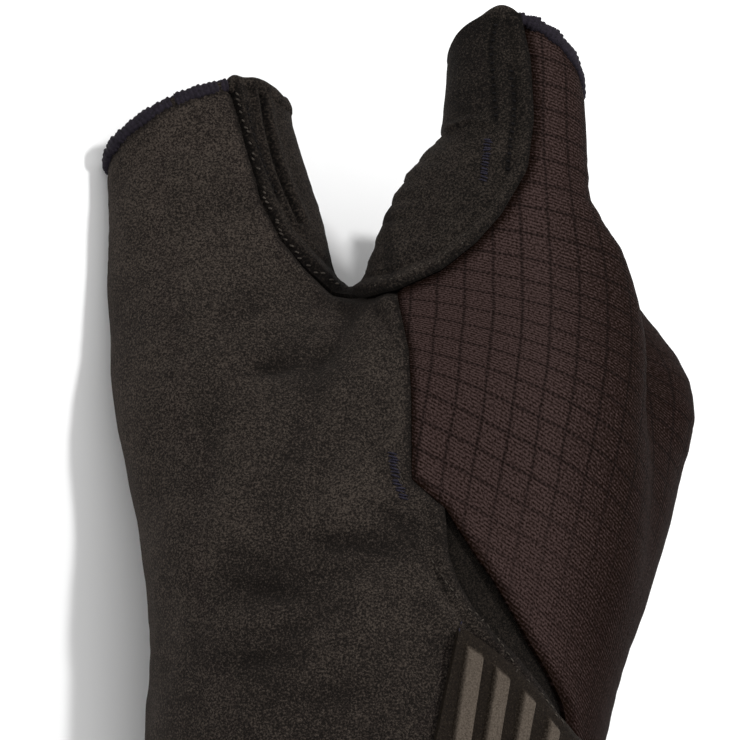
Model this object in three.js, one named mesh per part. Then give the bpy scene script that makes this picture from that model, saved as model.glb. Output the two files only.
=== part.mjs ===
// Half-finger cycling glove, right hand, lying on a table as a stuffed, sewn shell.
// Lengths are millimetres and angles are degrees.
// The shape is laid out in a hand frame: across (thumb side to back of the hand),
// along (wrist to fingertips) and out (towards the thumb-side viewer).
// The hand frame is then turned onto the table, which is the plane Z = 0.

import * as THREE from 'three';
import { SimplifyModifier } from 'three/addons/modifiers/SimplifyModifier.js';

// Driving dimensions
const PANEL_WALL = 1.2;
const GUSSET_WALL = 1.0;
const TAB_WALL = 1.6;
const BAR_HEIGHT = 1.3;
const SEAM_GAP = 0.3;
const FAR_SEAM_GAP = 0.7;
const LAYER_GAP = 0.3;
const TAB_GAP = 0.6;
const SLIT_TUCK = 2.0;
const BINDING_WIDTH = 2.2;
const BINDING_THICKNESS = 1.8;
const HEM_ALONG = -22;
const HEM_STEPS = 44;

// Blend widths between the tubes, and between the glove and the table
const BLEND_FINGERS = 2.5;
const BLEND_KNUCKLES = 12.0;
const BLEND_FIST = 9.0;
const BLEND_WEB = 7.5;
const BLEND_TABLE = 1.0;

// Resting pose: turn about the long axis, and where the hand frame sits on the table
const REST_TURN = 55;
const TABLE_RISE = -0.5;
const CENTRE_X = -76.9;
const CENTRE_Y = -57.85;

// Pattern sheet: seams are drawn on a flat sheet seen from a point on the viewer's side
const SHEET_TILT = 14;
const SHEET_DISTANCE = 600;
const SHEET_CENTRE = [68.5, 70.6, 0];
const SHEET_MIDDLE = 68.5;

// Colours of the sewn parts
const FINISHES = {
  suede: { color: '#37302c', roughness: 0.95, metalness: 0 },
  ripstop: { color: '#3a2a26', roughness: 0.8, metalness: 0 },
  dark_suede: { color: '#272320', roughness: 0.95, metalness: 0 },
  slit_suede: { color: '#1d1815', roughness: 0.95, metalness: 0 },
  rubber: { color: '#3c342e', roughness: 0.55, metalness: 0 },
  binding_thread: { color: '#2d272a', roughness: 0.85, metalness: 0 },
};

// Sections of each tube, wrist end first
// columns: along, across, out, half width, half depth, roll
const BODY_SECTIONS = [
  [-40, 69.5, -11, 35, 29, -10],
  [-20, 68.9, -11, 38.3, 30, -12],
  [0, 69.0, -11.5, 41.8, 31, -13],
  [20, 72, -12, 43.5, 31, -13],
  [38, 75, -13, 45.5, 29.5, -12],
  [52, 78, -14, 43, 27, -11],
  [62, 81, -14.5, 36, 24, -10],
];
const THUMB_SECTIONS = [
  [10, 57.5, -7, 25.5, 20, 0],
  [30, 53, -6.5, 23.6, 20, 0],
  [50, 47.4, -6.5, 23.0, 19, 0],
  [68, 42.7, -7.6, 22.3, 16.5, 0],
  [86, 40.6, -9.9, 21.8, 13.6, 0],
  [98, 39.2, -10.6, 20.8, 12.4, 0],
  [112, 36.7, -10.5, 19.0, 11.2, 0],
  [126, 34.3, -9.9, 17.9, 10.5, 0],
  [150, 31, -9, 17, 10, 0],
];
const KNUCKLE_SECTIONS = [
  [28, 94, -22, 24, 13, -72],
  [42, 100, -24, 29, 17.5, -72],
  [52, 103.5, -26, 31, 19.5, -72],
  [59, 104.5, -27.5, 29.5, 18.5, -72],
];
const INDEX_SECTIONS = [
  [40, 98, -5, 18, 15, -10],
  [58, 97, -1, 22, 15.5, -8],
  [74, 95.5, 0.4, 24.5, 13.6, -6],
  [88, 92.4, 1.2, 24.0, 11.2, -3],
  [99, 92.6, 1.4, 19.6, 10.0, 0],
  [109, 95.4, 1.0, 14.4, 9.9, 0],
  [122, 96.2, 0.5, 12.9, 9.9, 0],
  [150, 96.2, -0.5, 11.2, 9.9, 0],
];
const MIDDLE_SECTIONS = [
  [40, 104, -18, 14, 13, -35],
  [58, 112.8, -18.5, 15, 11, -30],
  [71, 116, -20, 15.8, 9.6, -28],
  [86, 109, -23.2, 13.2, 8.6, -25],
  [102, 102.5, -25.4, 12, 8.2, -20],
  [120, 98.5, -27, 11.6, 8.2, -15],
  [140, 95.5, -29, 11, 8.2, -15],
];
const RING_SECTIONS = [
  [38, 103, -32, 13, 12, -45],
  [56, 111, -37, 14.5, 10, -40],
  [68, 113, -40.5, 14.2, 8.9, -35],
  [80, 111, -43.8, 12.6, 8.2, -30],
  [94, 106, -46.4, 11.8, 7.9, -25],
  [112, 101, -48.8, 11.4, 7.9, -20],
  [130, 97, -50.5, 10.8, 7.9, -20],
];
const LITTLE_SECTIONS = [
  [34, 97, -43, 12, 10, -60],
  [52, 105, -52, 12.5, 9, -50],
  [62, 107, -56, 12.2, 8.3, -45],
  [74, 108, -60.5, 11.2, 7.8, -40],
  [88, 107.5, -64.5, 10.6, 7.5, -30],
  [102, 105.5, -67, 10.3, 7.4, -25],
  [120, 102.5, -69, 10, 7.4, -25],
];

// Open ends of the stalls
// columns: along at the tube's axis, rise per mm across, rise per mm out, steps round the loop
const RIMS = {
  thumb: [121.3, 0.37, 0.45, 30],
  index: [129.8, -0.2, 0.85, 26],
  middle: [121, 0.1, 0.2, 22],
  ring: [113, 0.1, 0.2, 22],
  little: [103, 0.1, 0.2, 20],
};

// Soft dents and folds of the palm suede, placed on the pattern sheet
// columns: sheet u, sheet v, half length, half width, turn, depth
const FOLDS = [
  [53.5, 69.5, 9, 5, 15, 1.1],
  [68, 36, 13, 4.5, 8, 1.2],
  [50, 27, 11, 4.5, -6, 1.0],
  [49, 14, 7, 4, 10, 0.9],
  [57, 60, 18, 3, 70, 0.6],
  [92, 24, 10, 4, -50, 0.7],
];

// Edge of the web gusset on the pattern sheet, thumb rim to index rim
// columns: sheet u, sheet v
const WEB_EDGE = [
  [41.0, 131.0],
  [42.6, 121.3],
  [45.4, 111.0],
  [48.5, 100.0],
  [52.0, 93.0],
  [56.5, 88.0],
  [62.0, 83.3],
  [66.3, 82.6],
  [73.0, 83.3],
  [81.5, 87.0],
  [88.0, 92.0],
  [92.8, 97.4],
  [97.6, 105.6],
  [98.7, 114.8],
  [98.1, 125.9],
  [96.3, 134.3],
  [95.5, 150.0],
];

// The same edge on the side turned away from the viewer
// columns: across, along
const WEB_EDGE_HIDDEN = [
  [51, 150],
  [52, 105],
  [55, 95],
  [60, 85],
  [67, 79],
  [75, 78],
  [84, 82],
  [90, 90],
  [95, 97],
  [101, 99],
  [120, 99],
  [120, 150],
];

// Seam between palm and back on the pattern sheet, from the web down to the hem.
// It parts into two edges at the wrist slit.
// columns: sheet u, sheet v
const SEAM_ABOVE_SLIT = [
  [70.0, 160.0],
  [72.6, 87.0],
  [73.1, 83.3],
  [75.6, 72.2],
  [76.1, 63.0],
  [76.3, 48.5],
  [82.4, 43.2],
];
const SLIT_BACK_EDGE = [
  [85.2, 38.9],
  [91.9, 28.9],
  [97.0, 20.4],
  [102.2, 11.9],
  [104.8, 6.3],
];
const SLIT_PALM_EDGE = [
  [83.0, 34.5],
  [84.8, 29.1],
  [88.2, 23.9],
  [91.4, 19.9],
  [96.4, 15.0],
  [101.4, 7.8],
  [103.9, 3.6],
];
const SEAM_BELOW_SLIT = [
  [105.6, 0.9],
  [103.0, -8.0],
  [100.0, -40.0],
];
const SLIT = [
  [82.4, 43.2],
  ...SLIT_BACK_EDGE,
  [105.6, 0.9],
  ...SLIT_PALM_EDGE.toReversed(),
];

// Across position of the seam between palm and back on each tube, away from the viewer
// columns: along, across
const FAR_SEAM = {
  body: [[-40, 86], [-20, 88], [0, 91], [30, 96], [55, 99], [75, 103]],
  index: [[60, 90], [90, 92], [110, 96], [150, 96.5]],
  middle: [[60, 100], [71, 102], [86, 103], [102, 102.5], [120, 98.5], [140, 95.5]],
  ring: [[60, 102], [80, 105], [94, 105], [112, 101], [130, 97]],
  little: [[52, 98], [74, 102], [88, 105], [102, 105.5], [120, 102.5]],
};

// Closure tab with four raised bars, laid round the wrist, left seam first
// columns: turn round the wrist at the top, along at the top, turn at the bottom, rise
const TAB_COLUMNS = [
  [62.8, 19.3, 76.8, 0],
  [60.7, 19.0, 70.2, 0],
  [59.6, 18.7, 69.0, 1],
  [55.5, 17.4, 64.4, 1],
  [54.4, 17.0, 63.2, 0],
  [51.6, 15.8, 60.2, 0],
  [50.5, 15.4, 59.0, 1],
  [47.0, 14.0, 55.0, 1],
  [45.9, 13.6, 53.8, 0],
  [42.6, 12.2, 50.2, 0],
  [41.5, 11.7, 49.0, 1],
  [38.6, 10.5, 45.6, 1],
  [37.5, 10.0, 44.4, 0],
  [33.6, 8.0, 40.0, 0],
  [32.5, 7.4, 38.8, 1],
  [29.8, 6.1, 35.8, 1],
  [28.7, 5.6, 34.6, 0],
  [22.0, 2.8, 27.0, 0],
  [16.0, 1.2, 19.0, 0],
  [9.0, -0.1, 11.0, 0],
  [3.0, -1.0, 4.0, 0],
  [-3.0, -1.8, -3.0, 0],
  [-9.0, -2.6, -9.0, 0],
  [-15.0, -3.3, -15.0, 0],
  [-20.0, -4.0, -20.0, 0],
  [-25.0, -5.6, -25.0, 0],
  [-27.5, -9.4, -27.5, 0],
];
const TAB_BOTTOM_ALONG = -17;

// Rows down the tab: distance from the top edge, then from the bottom edge, and share of the rise
// columns: from the top, from the bottom, share of the rise
const TAB_ROWS = [
  [0, null, 0],
  [2.6, null, 0],
  [3.4, null, 1],
  [null, 10, 1],
  [null, 1.9, 1],
  [null, 1.3, 0],
  [null, 0, 0],
];

// Grid planes the skin is traced on
// columns: from, to, number of steps
const GRID_ACROSS = [[5, 143, 26]];
const GRID_ALONG = [[-34, 41, 12], [41, 158, 25]];
const GRID_OUT = [[-86, -65, 4], [-65, -8, 18], [-8, 37, 9]];
const DROPPED_SHARE = 0.5;
const SLIT_REFINED = 4;

const STEPS_BETWEEN_SECTIONS = 4;
const rad = THREE.MathUtils.degToRad;

// Small vector helpers on [across, along, out] arrays
const add = (p, q) => [p[0] + q[0], p[1] + q[1], p[2] + q[2]];
const sub = (p, q) => [p[0] - q[0], p[1] - q[1], p[2] - q[2]];
const scale = (p, k) => [p[0] * k, p[1] * k, p[2] * k];
const dot = (p, q) => p[0] * q[0] + p[1] * q[1] + p[2] * q[2];
const cross = (p, q) => [
  p[1] * q[2] - p[2] * q[1],
  p[2] * q[0] - p[0] * q[2],
  p[0] * q[1] - p[1] * q[0],
];
const unit = (p) => scale(p, 1 / Math.hypot(p[0], p[1], p[2]));
const along = (p, n, d) => [p[0] + n[0] * d, p[1] + n[1] * d, p[2] + n[2] * d];
const mix = (x, y, t) => x + (y - x) * t;

const TABLE_NORMAL = [Math.cos(rad(REST_TURN)), 0, Math.sin(rad(REST_TURN))];

// Height above the table of a point of the hand frame
function tableHeight(p) {
  const turn = rad(REST_TURN);
  return p[0] * Math.cos(turn) + p[2] * Math.sin(turn) + TABLE_RISE;
}

// Hand frame to table frame
function toTable(p) {
  const turn = rad(REST_TURN);
  const x = p[0] * Math.sin(turn) - p[2] * Math.cos(turn) + CENTRE_X;
  return [x, p[1] + CENTRE_Y, tableHeight(p)];
}

// Point of the hand frame seen on the pattern sheet
function onSheet(p) {
  const tilt = rad(SHEET_TILT);
  const q = sub(p, SHEET_CENTRE);
  const near = q[2] * Math.cos(tilt) - q[1] * Math.sin(tilt);
  const grow = SHEET_DISTANCE / (SHEET_DISTANCE - near);
  const up = q[1] * Math.cos(tilt) + q[2] * Math.sin(tilt);
  return [SHEET_MIDDLE + q[0] * grow, SHEET_MIDDLE + up * grow];
}

// Smooth curve through the section rows
function refineRows(rows) {
  const first = rows[0].map((x, i) => 2 * x - rows[1][i]);
  const end = rows.length - 1;
  const last = rows[end].map((x, i) => 2 * x - rows[end - 1][i]);
  const all = [first, ...rows, last];
  const out = [];
  for (let i = 1; i < all.length - 2; i++) {
    for (let j = 0; j < STEPS_BETWEEN_SECTIONS; j++) {
      const t = j / STEPS_BETWEEN_SECTIONS;
      out.push(all[i].map((p1, k) => {
        const p0 = all[i - 1][k];
        const p2 = all[i + 1][k];
        const p3 = all[i + 2][k];
        const quadratic = (2 * p0 - 5 * p1 + 4 * p2 - p3) * t * t;
        const cubic = (3 * p1 - p0 - 3 * p2 + p3) * t * t * t;
        return 0.5 * (2 * p1 + (p2 - p0) * t + quadratic + cubic);
      }));
    }
  }
  out.push(rows[end]);
  return out;
}

// Elliptical tube through its section rows
class Tube {
  constructor(rows) {
    const fine = refineRows(rows);
    const centres = fine.map(([l, a, o]) => [a, l, o]);
    const frames = fine.map((row, i) => {
      const before = centres[Math.max(i - 1, 0)];
      const after = centres[Math.min(i + 1, fine.length - 1)];
      const run = unit(sub(after, before));
      const roll = rad(row[5]);
      const flat = [Math.cos(roll), 0, Math.sin(roll)];
      const wide = unit(along(flat, run, -dot(flat, run)));
      return { wide, deep: cross(wide, run) };
    });
    this.centres = centres;
    this.frames = frames;
    this.segments = [];
    for (let i = 0; i < fine.length - 1; i++) {
      const step = sub(centres[i + 1], centres[i]);
      this.segments.push({
        start: centres[i],
        step,
        length2: dot(step, step),
        run: unit(step),
        wide: scale(add(frames[i].wide, frames[i + 1].wide), 0.5),
        deep: scale(add(frames[i].deep, frames[i + 1].deep), 0.5),
        width: [fine[i][3], fine[i + 1][3]],
        depth: [fine[i][4], fine[i + 1][4]],
      });
    }
  }

  // Near distance to the tube's skin, negative inside
  distance(p) {
    let best = Infinity;
    for (const s of this.segments) {
      const q0 = sub(p, s.start);
      const t = Math.min(1, Math.max(0, dot(q0, s.step) / s.length2));
      const q = along(q0, s.step, -t);
      const w = mix(s.width[0], s.width[1], t);
      const d = mix(s.depth[0], s.depth[1], t);
      const e = Math.min(w, d);
      const x = dot(q, s.wide);
      const y = dot(q, s.deep);
      const z = dot(q, s.run);
      const reach = Math.hypot(x / w, y / d, z / e) + 1e-9;
      const slope = Math.hypot(x / (w * w), y / (d * d), z / (e * e)) + 1e-9;
      best = Math.min(best, (reach * (reach - 1)) / slope);
    }
    return best;
  }

  // Index of the centre nearest to a station along the hand
  nearestCentre(station) {
    let best = 0;
    this.centres.forEach((c, i) => {
      if (Math.abs(c[1] - station) < Math.abs(this.centres[best][1] - station)) {
        best = i;
      }
    });
    return best;
  }
}

const TUBES = {
  body: new Tube(BODY_SECTIONS),
  thumb: new Tube(THUMB_SECTIONS),
  knuckles: new Tube(KNUCKLE_SECTIONS),
  index: new Tube(INDEX_SECTIONS),
  middle: new Tube(MIDDLE_SECTIONS),
  ring: new Tube(RING_SECTIONS),
  little: new Tube(LITTLE_SECTIONS),
};

function smoothMin(x, y, width) {
  const h = Math.max(width - Math.abs(x - y), 0) / width;
  return Math.min(x, y) - h * h * width * 0.25;
}

const smoothMax = (x, y, width) => -smoothMin(-x, -y, width);

// Depth of the soft folds at a point of the viewer's side
function foldDepth(p) {
  const facing = Math.min(1, Math.max(0, (p[2] + 8) / 8));
  if (facing === 0) return 0;
  const [u, v] = onSheet(p);
  let depth = 0;
  for (const [cu, cv, length, width, turn, deep] of FOLDS) {
    const c = Math.cos(rad(turn));
    const s = Math.sin(rad(turn));
    const x = ((u - cu) * c + (v - cv) * s) / length;
    const y = ((v - cv) * c - (u - cu) * s) / width;
    depth += deep * Math.exp(-x * x - y * y);
  }
  return depth * facing;
}

// The whole glove as one smooth solid, negative inside
function glove(p) {
  const d = {};
  for (const name of Object.keys(TUBES)) d[name] = TUBES[name].distance(p);
  let fingers = smoothMin(d.index, d.middle, BLEND_FINGERS);
  fingers = smoothMin(fingers, d.ring, BLEND_FINGERS);
  fingers = smoothMin(fingers, d.little, BLEND_FINGERS);
  const fist = smoothMin(d.body, fingers, BLEND_KNUCKLES);
  const hand = smoothMin(fist, d.knuckles, BLEND_FIST);
  const all = smoothMin(hand, d.thumb, BLEND_WEB) + foldDepth(p);
  return smoothMax(all, -tableHeight(p), BLEND_TABLE);
}

// Slope of the glove's distance over a small or a wider step
function slopeAt(p, e = 0.05) {
  return [0, 1, 2].map((k) => {
    const hi = [...p];
    const lo = [...p];
    hi[k] += e;
    lo[k] -= e;
    return (glove(hi) - glove(lo)) / (2 * e);
  });
}

// Moves a point onto the glove's skin
function toSkin(start) {
  let p = start;
  for (let i = 0; i < 5; i++) {
    const g = slopeAt(p);
    p = along(p, g, -glove(p) / Math.max(dot(g, g), 0.2));
  }
  return p;
}

// Grid planes of one direction
function gridPlanes(rows) {
  const out = [];
  for (const [from, to, steps] of rows) {
    for (let i = 0; i < steps; i++) out.push(from + ((to - from) * i) / steps);
  }
  out.push(rows[rows.length - 1][1]);
  return out;
}

// True when the inside corners and the outside corners of a cell each hang together
function cellIsSimple(bits) {
  for (const side of [0, 1]) {
    const members = [];
    for (let c = 0; c < 8; c++) if (((bits >> c) & 1) === side) members.push(c);
    if (members.length === 0) continue;
    const reached = new Set([members[0]]);
    const queue = [members[0]];
    while (queue.length) {
      const c = queue.pop();
      for (const step of [1, 2, 4]) {
        const n = c ^ step;
        if (members.includes(n) && !reached.has(n)) {
          reached.add(n);
          queue.push(n);
        }
      }
    }
    if (reached.size !== members.length) return false;
  }
  return true;
}

// Closed triangle skin of the glove, traced on the grid planes
function traceSkin() {
  const axes = [gridPlanes(GRID_ACROSS), gridPlanes(GRID_ALONG), gridPlanes(GRID_OUT)];
  const size = axes.map((x) => x.length);
  const at = (i, j, k) => (i * size[1] + j) * size[2] + k;
  const value = new Float64Array(size[0] * size[1] * size[2]);
  for (let i = 0; i < size[0]; i++) {
    for (let j = 0; j < size[1]; j++) {
      for (let k = 0; k < size[2]; k++) {
        value[at(i, j, k)] = glove([axes[0][i], axes[1][j], axes[2][k]]);
      }
    }
  }
  const corner = (c) => [(c & 1), (c >> 1) & 1, (c >> 2) & 1];
  const cornerAt = (i, j, k, c) => {
    const [x, y, z] = corner(c);
    return at(i + x, j + y, k + z);
  };
  const bitsOf = (i, j, k) => {
    let bits = 0;
    for (let c = 0; c < 8; c++) if (value[cornerAt(i, j, k, c)] < 0) bits |= 1 << c;
    return bits;
  };

  // Opens cells where two sheets of the skin would touch
  const simple = Array.from({ length: 256 }, (_, bits) => cellIsSimple(bits));
  for (let changed = true; changed;) {
    changed = false;
    for (let i = 0; i < size[0] - 1; i++) {
      for (let j = 0; j < size[1] - 1; j++) {
        for (let k = 0; k < size[2] - 1; k++) {
          if (simple[bitsOf(i, j, k)]) continue;
          let thin = -1;
          for (let c = 0; c < 8; c++) {
            const n = cornerAt(i, j, k, c);
            if (value[n] < 0 && (thin < 0 || value[n] > value[thin])) thin = n;
          }
          value[thin] = 1e-3;
          changed = true;
        }
      }
    }
  }

  const vertexOf = new Map();
  const points = [];
  const vertex = (i, j, k) => {
    const key = at(i, j, k);
    if (vertexOf.has(key)) return vertexOf.get(key);
    const sum = [0, 0, 0];
    let count = 0;
    for (let c = 0; c < 8; c++) {
      for (const step of [1, 2, 4]) {
        if (c & step) continue;
        const v0 = value[cornerAt(i, j, k, c)];
        const v1 = value[cornerAt(i, j, k, c | step)];
        if (v0 < 0 === v1 < 0) continue;
        const t = v0 / (v0 - v1);
        const p0 = corner(c);
        const p1 = corner(c | step);
        for (let x = 0; x < 3; x++) sum[x] += mix(p0[x], p1[x], t);
        count++;
      }
    }
    const cell = [i, j, k];
    const p = cell.map((n, x) => mix(axes[x][n], axes[x][n + 1], sum[x] / count));
    points.push(toSkin(p));
    vertexOf.set(key, points.length - 1);
    return points.length - 1;
  };

  const triangles = [];
  const faceRing = [[-1, -1], [0, -1], [0, 0], [-1, 0]];
  for (let axis = 0; axis < 3; axis++) {
    const b = (axis + 1) % 3;
    const c = (axis + 2) % 3;
    for (let i = 1; i < size[0] - 1; i++) {
      for (let j = 1; j < size[1] - 1; j++) {
        for (let k = 1; k < size[2] - 1; k++) {
          const here = [i, j, k];
          const next = [i, j, k];
          next[axis] += 1;
          const inside = value[at(...here)] < 0;
          if (inside === value[at(...next)] < 0) continue;
          const ring = faceRing.map(([db, dc]) => {
            const cell = [i, j, k];
            cell[b] += db;
            cell[c] += dc;
            return vertex(...cell);
          });
          if (!inside) ring.reverse();
          triangles.push([ring[0], ring[1], ring[2]], [ring[0], ring[2], ring[3]]);
        }
      }
    }
  }
  return { points, triangles };
}

// Drops vertices where the skin is nearly flat
async function thinOut(skin) {
  const geometry = new THREE.BufferGeometry();
  const flat = new Float32Array(skin.points.flat());
  geometry.setAttribute('position', new THREE.BufferAttribute(flat, 3));
  geometry.setIndex(skin.triangles.flat());
  const dropped = Math.floor(skin.points.length * DROPPED_SHARE);
  const thinned = await new SimplifyModifier().modify(geometry, dropped);
  const position = thinned.getAttribute('position');
  const points = [];
  for (let i = 0; i < position.count; i++) {
    points.push([position.getX(i), position.getY(i), position.getZ(i)]);
  }
  const triangles = [];
  const index = thinned.getIndex().array;
  for (let i = 0; i < index.length; i += 3) {
    triangles.push([index[i], index[i + 1], index[i + 2]]);
  }
  return { points, triangles };
}

// Signed distance on the sheet to a line, positive inside the outline that the line closes
function sideOfLine(u, v, line, closed) {
  let best = Infinity;
  let inside = false;
  const last = line.length - 1;
  const ends = closed ? line.length : last;
  for (let i = 0; i < ends; i++) {
    const [u0, v0] = line[i];
    const [u1, v1] = line[(i + 1) % line.length];
    const du = u1 - u0;
    const dv = v1 - v0;
    const along01 = ((u - u0) * du + (v - v0) * dv) / (du * du + dv * dv);
    const t = Math.min(1, Math.max(0, along01));
    best = Math.min(best, Math.hypot(u - u0 - du * t, v - v0 - dv * t));
  }
  for (let i = 0; i < line.length; i++) {
    const [u0, v0] = line[i];
    const [u1, v1] = line[(i + 1) % line.length];
    if (v0 > v === v1 > v) continue;
    if (u < u0 + ((v - v0) / (v1 - v0)) * (u1 - u0)) inside = !inside;
  }
  return inside ? best : -best;
}

// Value of a two-column table between its rows
function lookUp(table, x) {
  if (x <= table[0][0]) return table[0][1];
  for (let i = 1; i < table.length; i++) {
    const [x1, y1] = table[i];
    const [x0, y0] = table[i - 1];
    if (x <= x1) return mix(y0, y1, (x - x0) / (x1 - x0));
  }
  return table[table.length - 1][1];
}

// Where a point lies: distances to the tubes and whether its skin faces the viewer
function placeOf(p) {
  const d = {};
  for (const name of Object.keys(TUBES)) d[name] = TUBES[name].distance(p);
  const tilt = rad(SHEET_TILT);
  const facing = dot(slopeAt(p), [0, -Math.sin(tilt), Math.cos(tilt)]) > 0;
  const far = Math.min(d.middle, d.ring, d.little);
  const near = Math.min(d.body, d.thumb, d.index);
  return { d, facing, far, near };
}

// Positive on the back's side of the far seam, which is left a little wider
function farSide(p, d) {
  let sum = 0;
  let weight = 0;
  for (const name of Object.keys(FAR_SEAM)) {
    const w = 1 / (0.5 + Math.max(d[name], 0)) ** 3;
    sum += w * (p[0] - lookUp(FAR_SEAM[name], p[1]));
    weight += w;
  }
  return (sum / weight) * (SEAM_GAP / FAR_SEAM_GAP);
}

// Positive on the web gusset
function onWeb(p) {
  const { d, facing, far, near } = placeOf(p);
  const clear = (far - near) * 0.5;
  if (facing) {
    const [u, v] = onSheet(p);
    return Math.min(clear, sideOfLine(u, v, WEB_EDGE));
  }
  return Math.min(clear, sideOfLine(p[0], p[1], WEB_EDGE_HIDDEN), -farSide(p, d));
}

// Positive on the back's side of the seam, whose slit part follows one of its two edges
function onBack(p, slitEdge) {
  const { d, facing, far, near } = placeOf(p);
  if (!facing || near > far - 3) return farSide(p, d);
  const [u, v] = onSheet(p);
  const line = [...SEAM_ABOVE_SLIT, ...slitEdge, ...SEAM_BELOW_SLIT];
  const side = sideOfLine(u, v, [...line, [300, -40], [300, 160]]) > 0 ? 1 : -1;
  return side * Math.abs(sideOfLine(u, v, line));
}

// Positive inside the wrist slit
function inSlit(p) {
  const { d, facing, far, near } = placeOf(p);
  if (!facing || far < near || d.body > 12) return -20;
  const [u, v] = onSheet(p);
  return sideOfLine(u, v, SLIT, true);
}

// Rim plane of one stall: its centre, its normal and its frame
function rimPlane(name) {
  const [station, riseAcross, riseOut] = RIMS[name];
  const tube = TUBES[name];
  const i = tube.nearestCentre(station);
  const c = tube.centres[i];
  const normal = unit([-riseAcross, 1, -riseOut]);
  return { centre: [c[0], station, c[2]], normal, frame: tube.frames[i] };
}

const RIM_PLANES = Object.fromEntries(Object.keys(RIMS).map((n) => [n, rimPlane(n)]));

// Distance below the open ends, positive on the glove
function belowRims(p) {
  let nearest = null;
  let best = Infinity;
  for (const name of Object.keys(RIMS)) {
    const d = TUBES[name].distance(p);
    if (d < best) {
      best = d;
      nearest = name;
    }
  }
  const { centre, normal } = RIM_PLANES[nearest];
  return Math.min(-dot(sub(p, centre), normal), p[1] - HEM_ALONG);
}

// Splits the long edges of a skin near the zero line of a function
function refineNear(skin, fn, reach, longest) {
  const points = [...skin.points];
  const close = points.map((p) => Math.abs(fn(p)) < reach);
  const halves = new Map();
  const halfway = (i, j) => {
    const key = i < j ? `${i}_${j}` : `${j}_${i}`;
    if (!close[i] || !close[j]) return -1;
    if (Math.hypot(...sub(points[i], points[j])) < longest) return -1;
    if (!halves.has(key)) {
      halves.set(key, points.length);
      points.push(toSkin(scale(add(points[i], points[j]), 0.5)));
    }
    return halves.get(key);
  };
  const triangles = [];
  for (const [a, b, c] of skin.triangles) {
    const [ab, bc, ca] = [halfway(a, b), halfway(b, c), halfway(c, a)];
    const split = [ab, bc, ca].filter((x) => x >= 0).length;
    if (split === 0) {
      triangles.push([a, b, c]);
    } else if (split === 3) {
      triangles.push([a, ab, ca], [ab, b, bc], [ca, bc, c], [ab, bc, ca]);
    } else if (split === 1) {
      const [p, q, r, m] = ab >= 0 ? [a, b, c, ab] : bc >= 0 ? [b, c, a, bc] : [c, a, b, ca];
      triangles.push([p, m, r], [m, q, r]);
    } else {
      const [p, q, r, m, n] = ab < 0 ? [c, a, b, ca, bc]
        : bc < 0 ? [a, b, c, ab, ca] : [b, c, a, bc, ab];
      triangles.push([p, m, n], [m, q, r], [m, r, n]);
    }
  }
  return { points, triangles };
}

// Part of a skin where a function is positive; the cut runs along its zero line
function clip(skin, fn) {
  const nudge = 0.02;
  const values = skin.points.map((p) => {
    const x = fn(p);
    return Math.abs(x) < nudge ? (x < 0 ? -nudge : nudge) : x;
  });
  const points = [];
  const kept = new Map();
  const cuts = new Map();
  const keep = (i) => {
    if (!kept.has(i)) {
      kept.set(i, points.length);
      points.push(skin.points[i]);
    }
    return kept.get(i);
  };
  const cut = (i, j) => {
    const key = i < j ? `${i}_${j}` : `${j}_${i}`;
    if (cuts.has(key)) return cuts.get(key);
    const [a, b] = i < j ? [i, j] : [j, i];
    let [t0, t1] = [0, 1];
    let [v0, v1] = [values[a], values[b]];
    let p = null;
    for (let n = 0; n < 5; n++) {
      const t = mix(t0, t1, Math.min(0.95, Math.max(0.05, v0 / (v0 - v1))));
      p = toSkin(along(skin.points[a], sub(skin.points[b], skin.points[a]), t));
      const v = fn(p);
      if (Math.abs(v) < 0.01) break;
      if (v < 0 === v0 < 0) [t0, v0] = [t, v];
      else [t1, v1] = [t, v];
    }
    cuts.set(key, points.length);
    points.push(p);
    return points.length - 1;
  };
  const triangles = [];
  for (const tri of skin.triangles) {
    const inside = tri.map((i) => values[i] > 0);
    const count = inside.filter(Boolean).length;
    if (count === 0) continue;
    if (count === 3) {
      triangles.push(tri.map(keep));
      continue;
    }
    const odd = inside.indexOf(count === 1);
    const [a, b, c] = [tri[odd], tri[(odd + 1) % 3], tri[(odd + 2) % 3]];
    const ab = cut(a, b);
    const ca = cut(c, a);
    if (count === 1) {
      triangles.push([keep(a), ab, ca]);
    } else {
      triangles.push([ab, keep(b), keep(c)], [ab, keep(c), ca]);
    }
  }
  return largestPiece({ points, triangles });
}

// Largest connected piece of a skin
function largestPiece(skin) {
  const parent = skin.points.map((_, i) => i);
  const find = (i) => {
    while (parent[i] !== i) {
      parent[i] = parent[parent[i]];
      i = parent[i];
    }
    return i;
  };
  for (const [a, b, c] of skin.triangles) {
    parent[find(a)] = find(b);
    parent[find(b)] = find(c);
  }
  const sizes = new Map();
  for (const [a] of skin.triangles) sizes.set(find(a), (sizes.get(find(a)) ?? 0) + 1);
  const largest = [...sizes].sort((x, y) => y[1] - x[1])[0][0];
  const index = new Map();
  const points = [];
  const triangles = [];
  for (const tri of skin.triangles) {
    if (find(tri[0]) !== largest) continue;
    triangles.push(tri.map((i) => {
      if (!index.has(i)) {
        index.set(i, points.length);
        points.push(skin.points[i]);
      }
      return index.get(i);
    }));
  }
  return { points, triangles };
}

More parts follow.
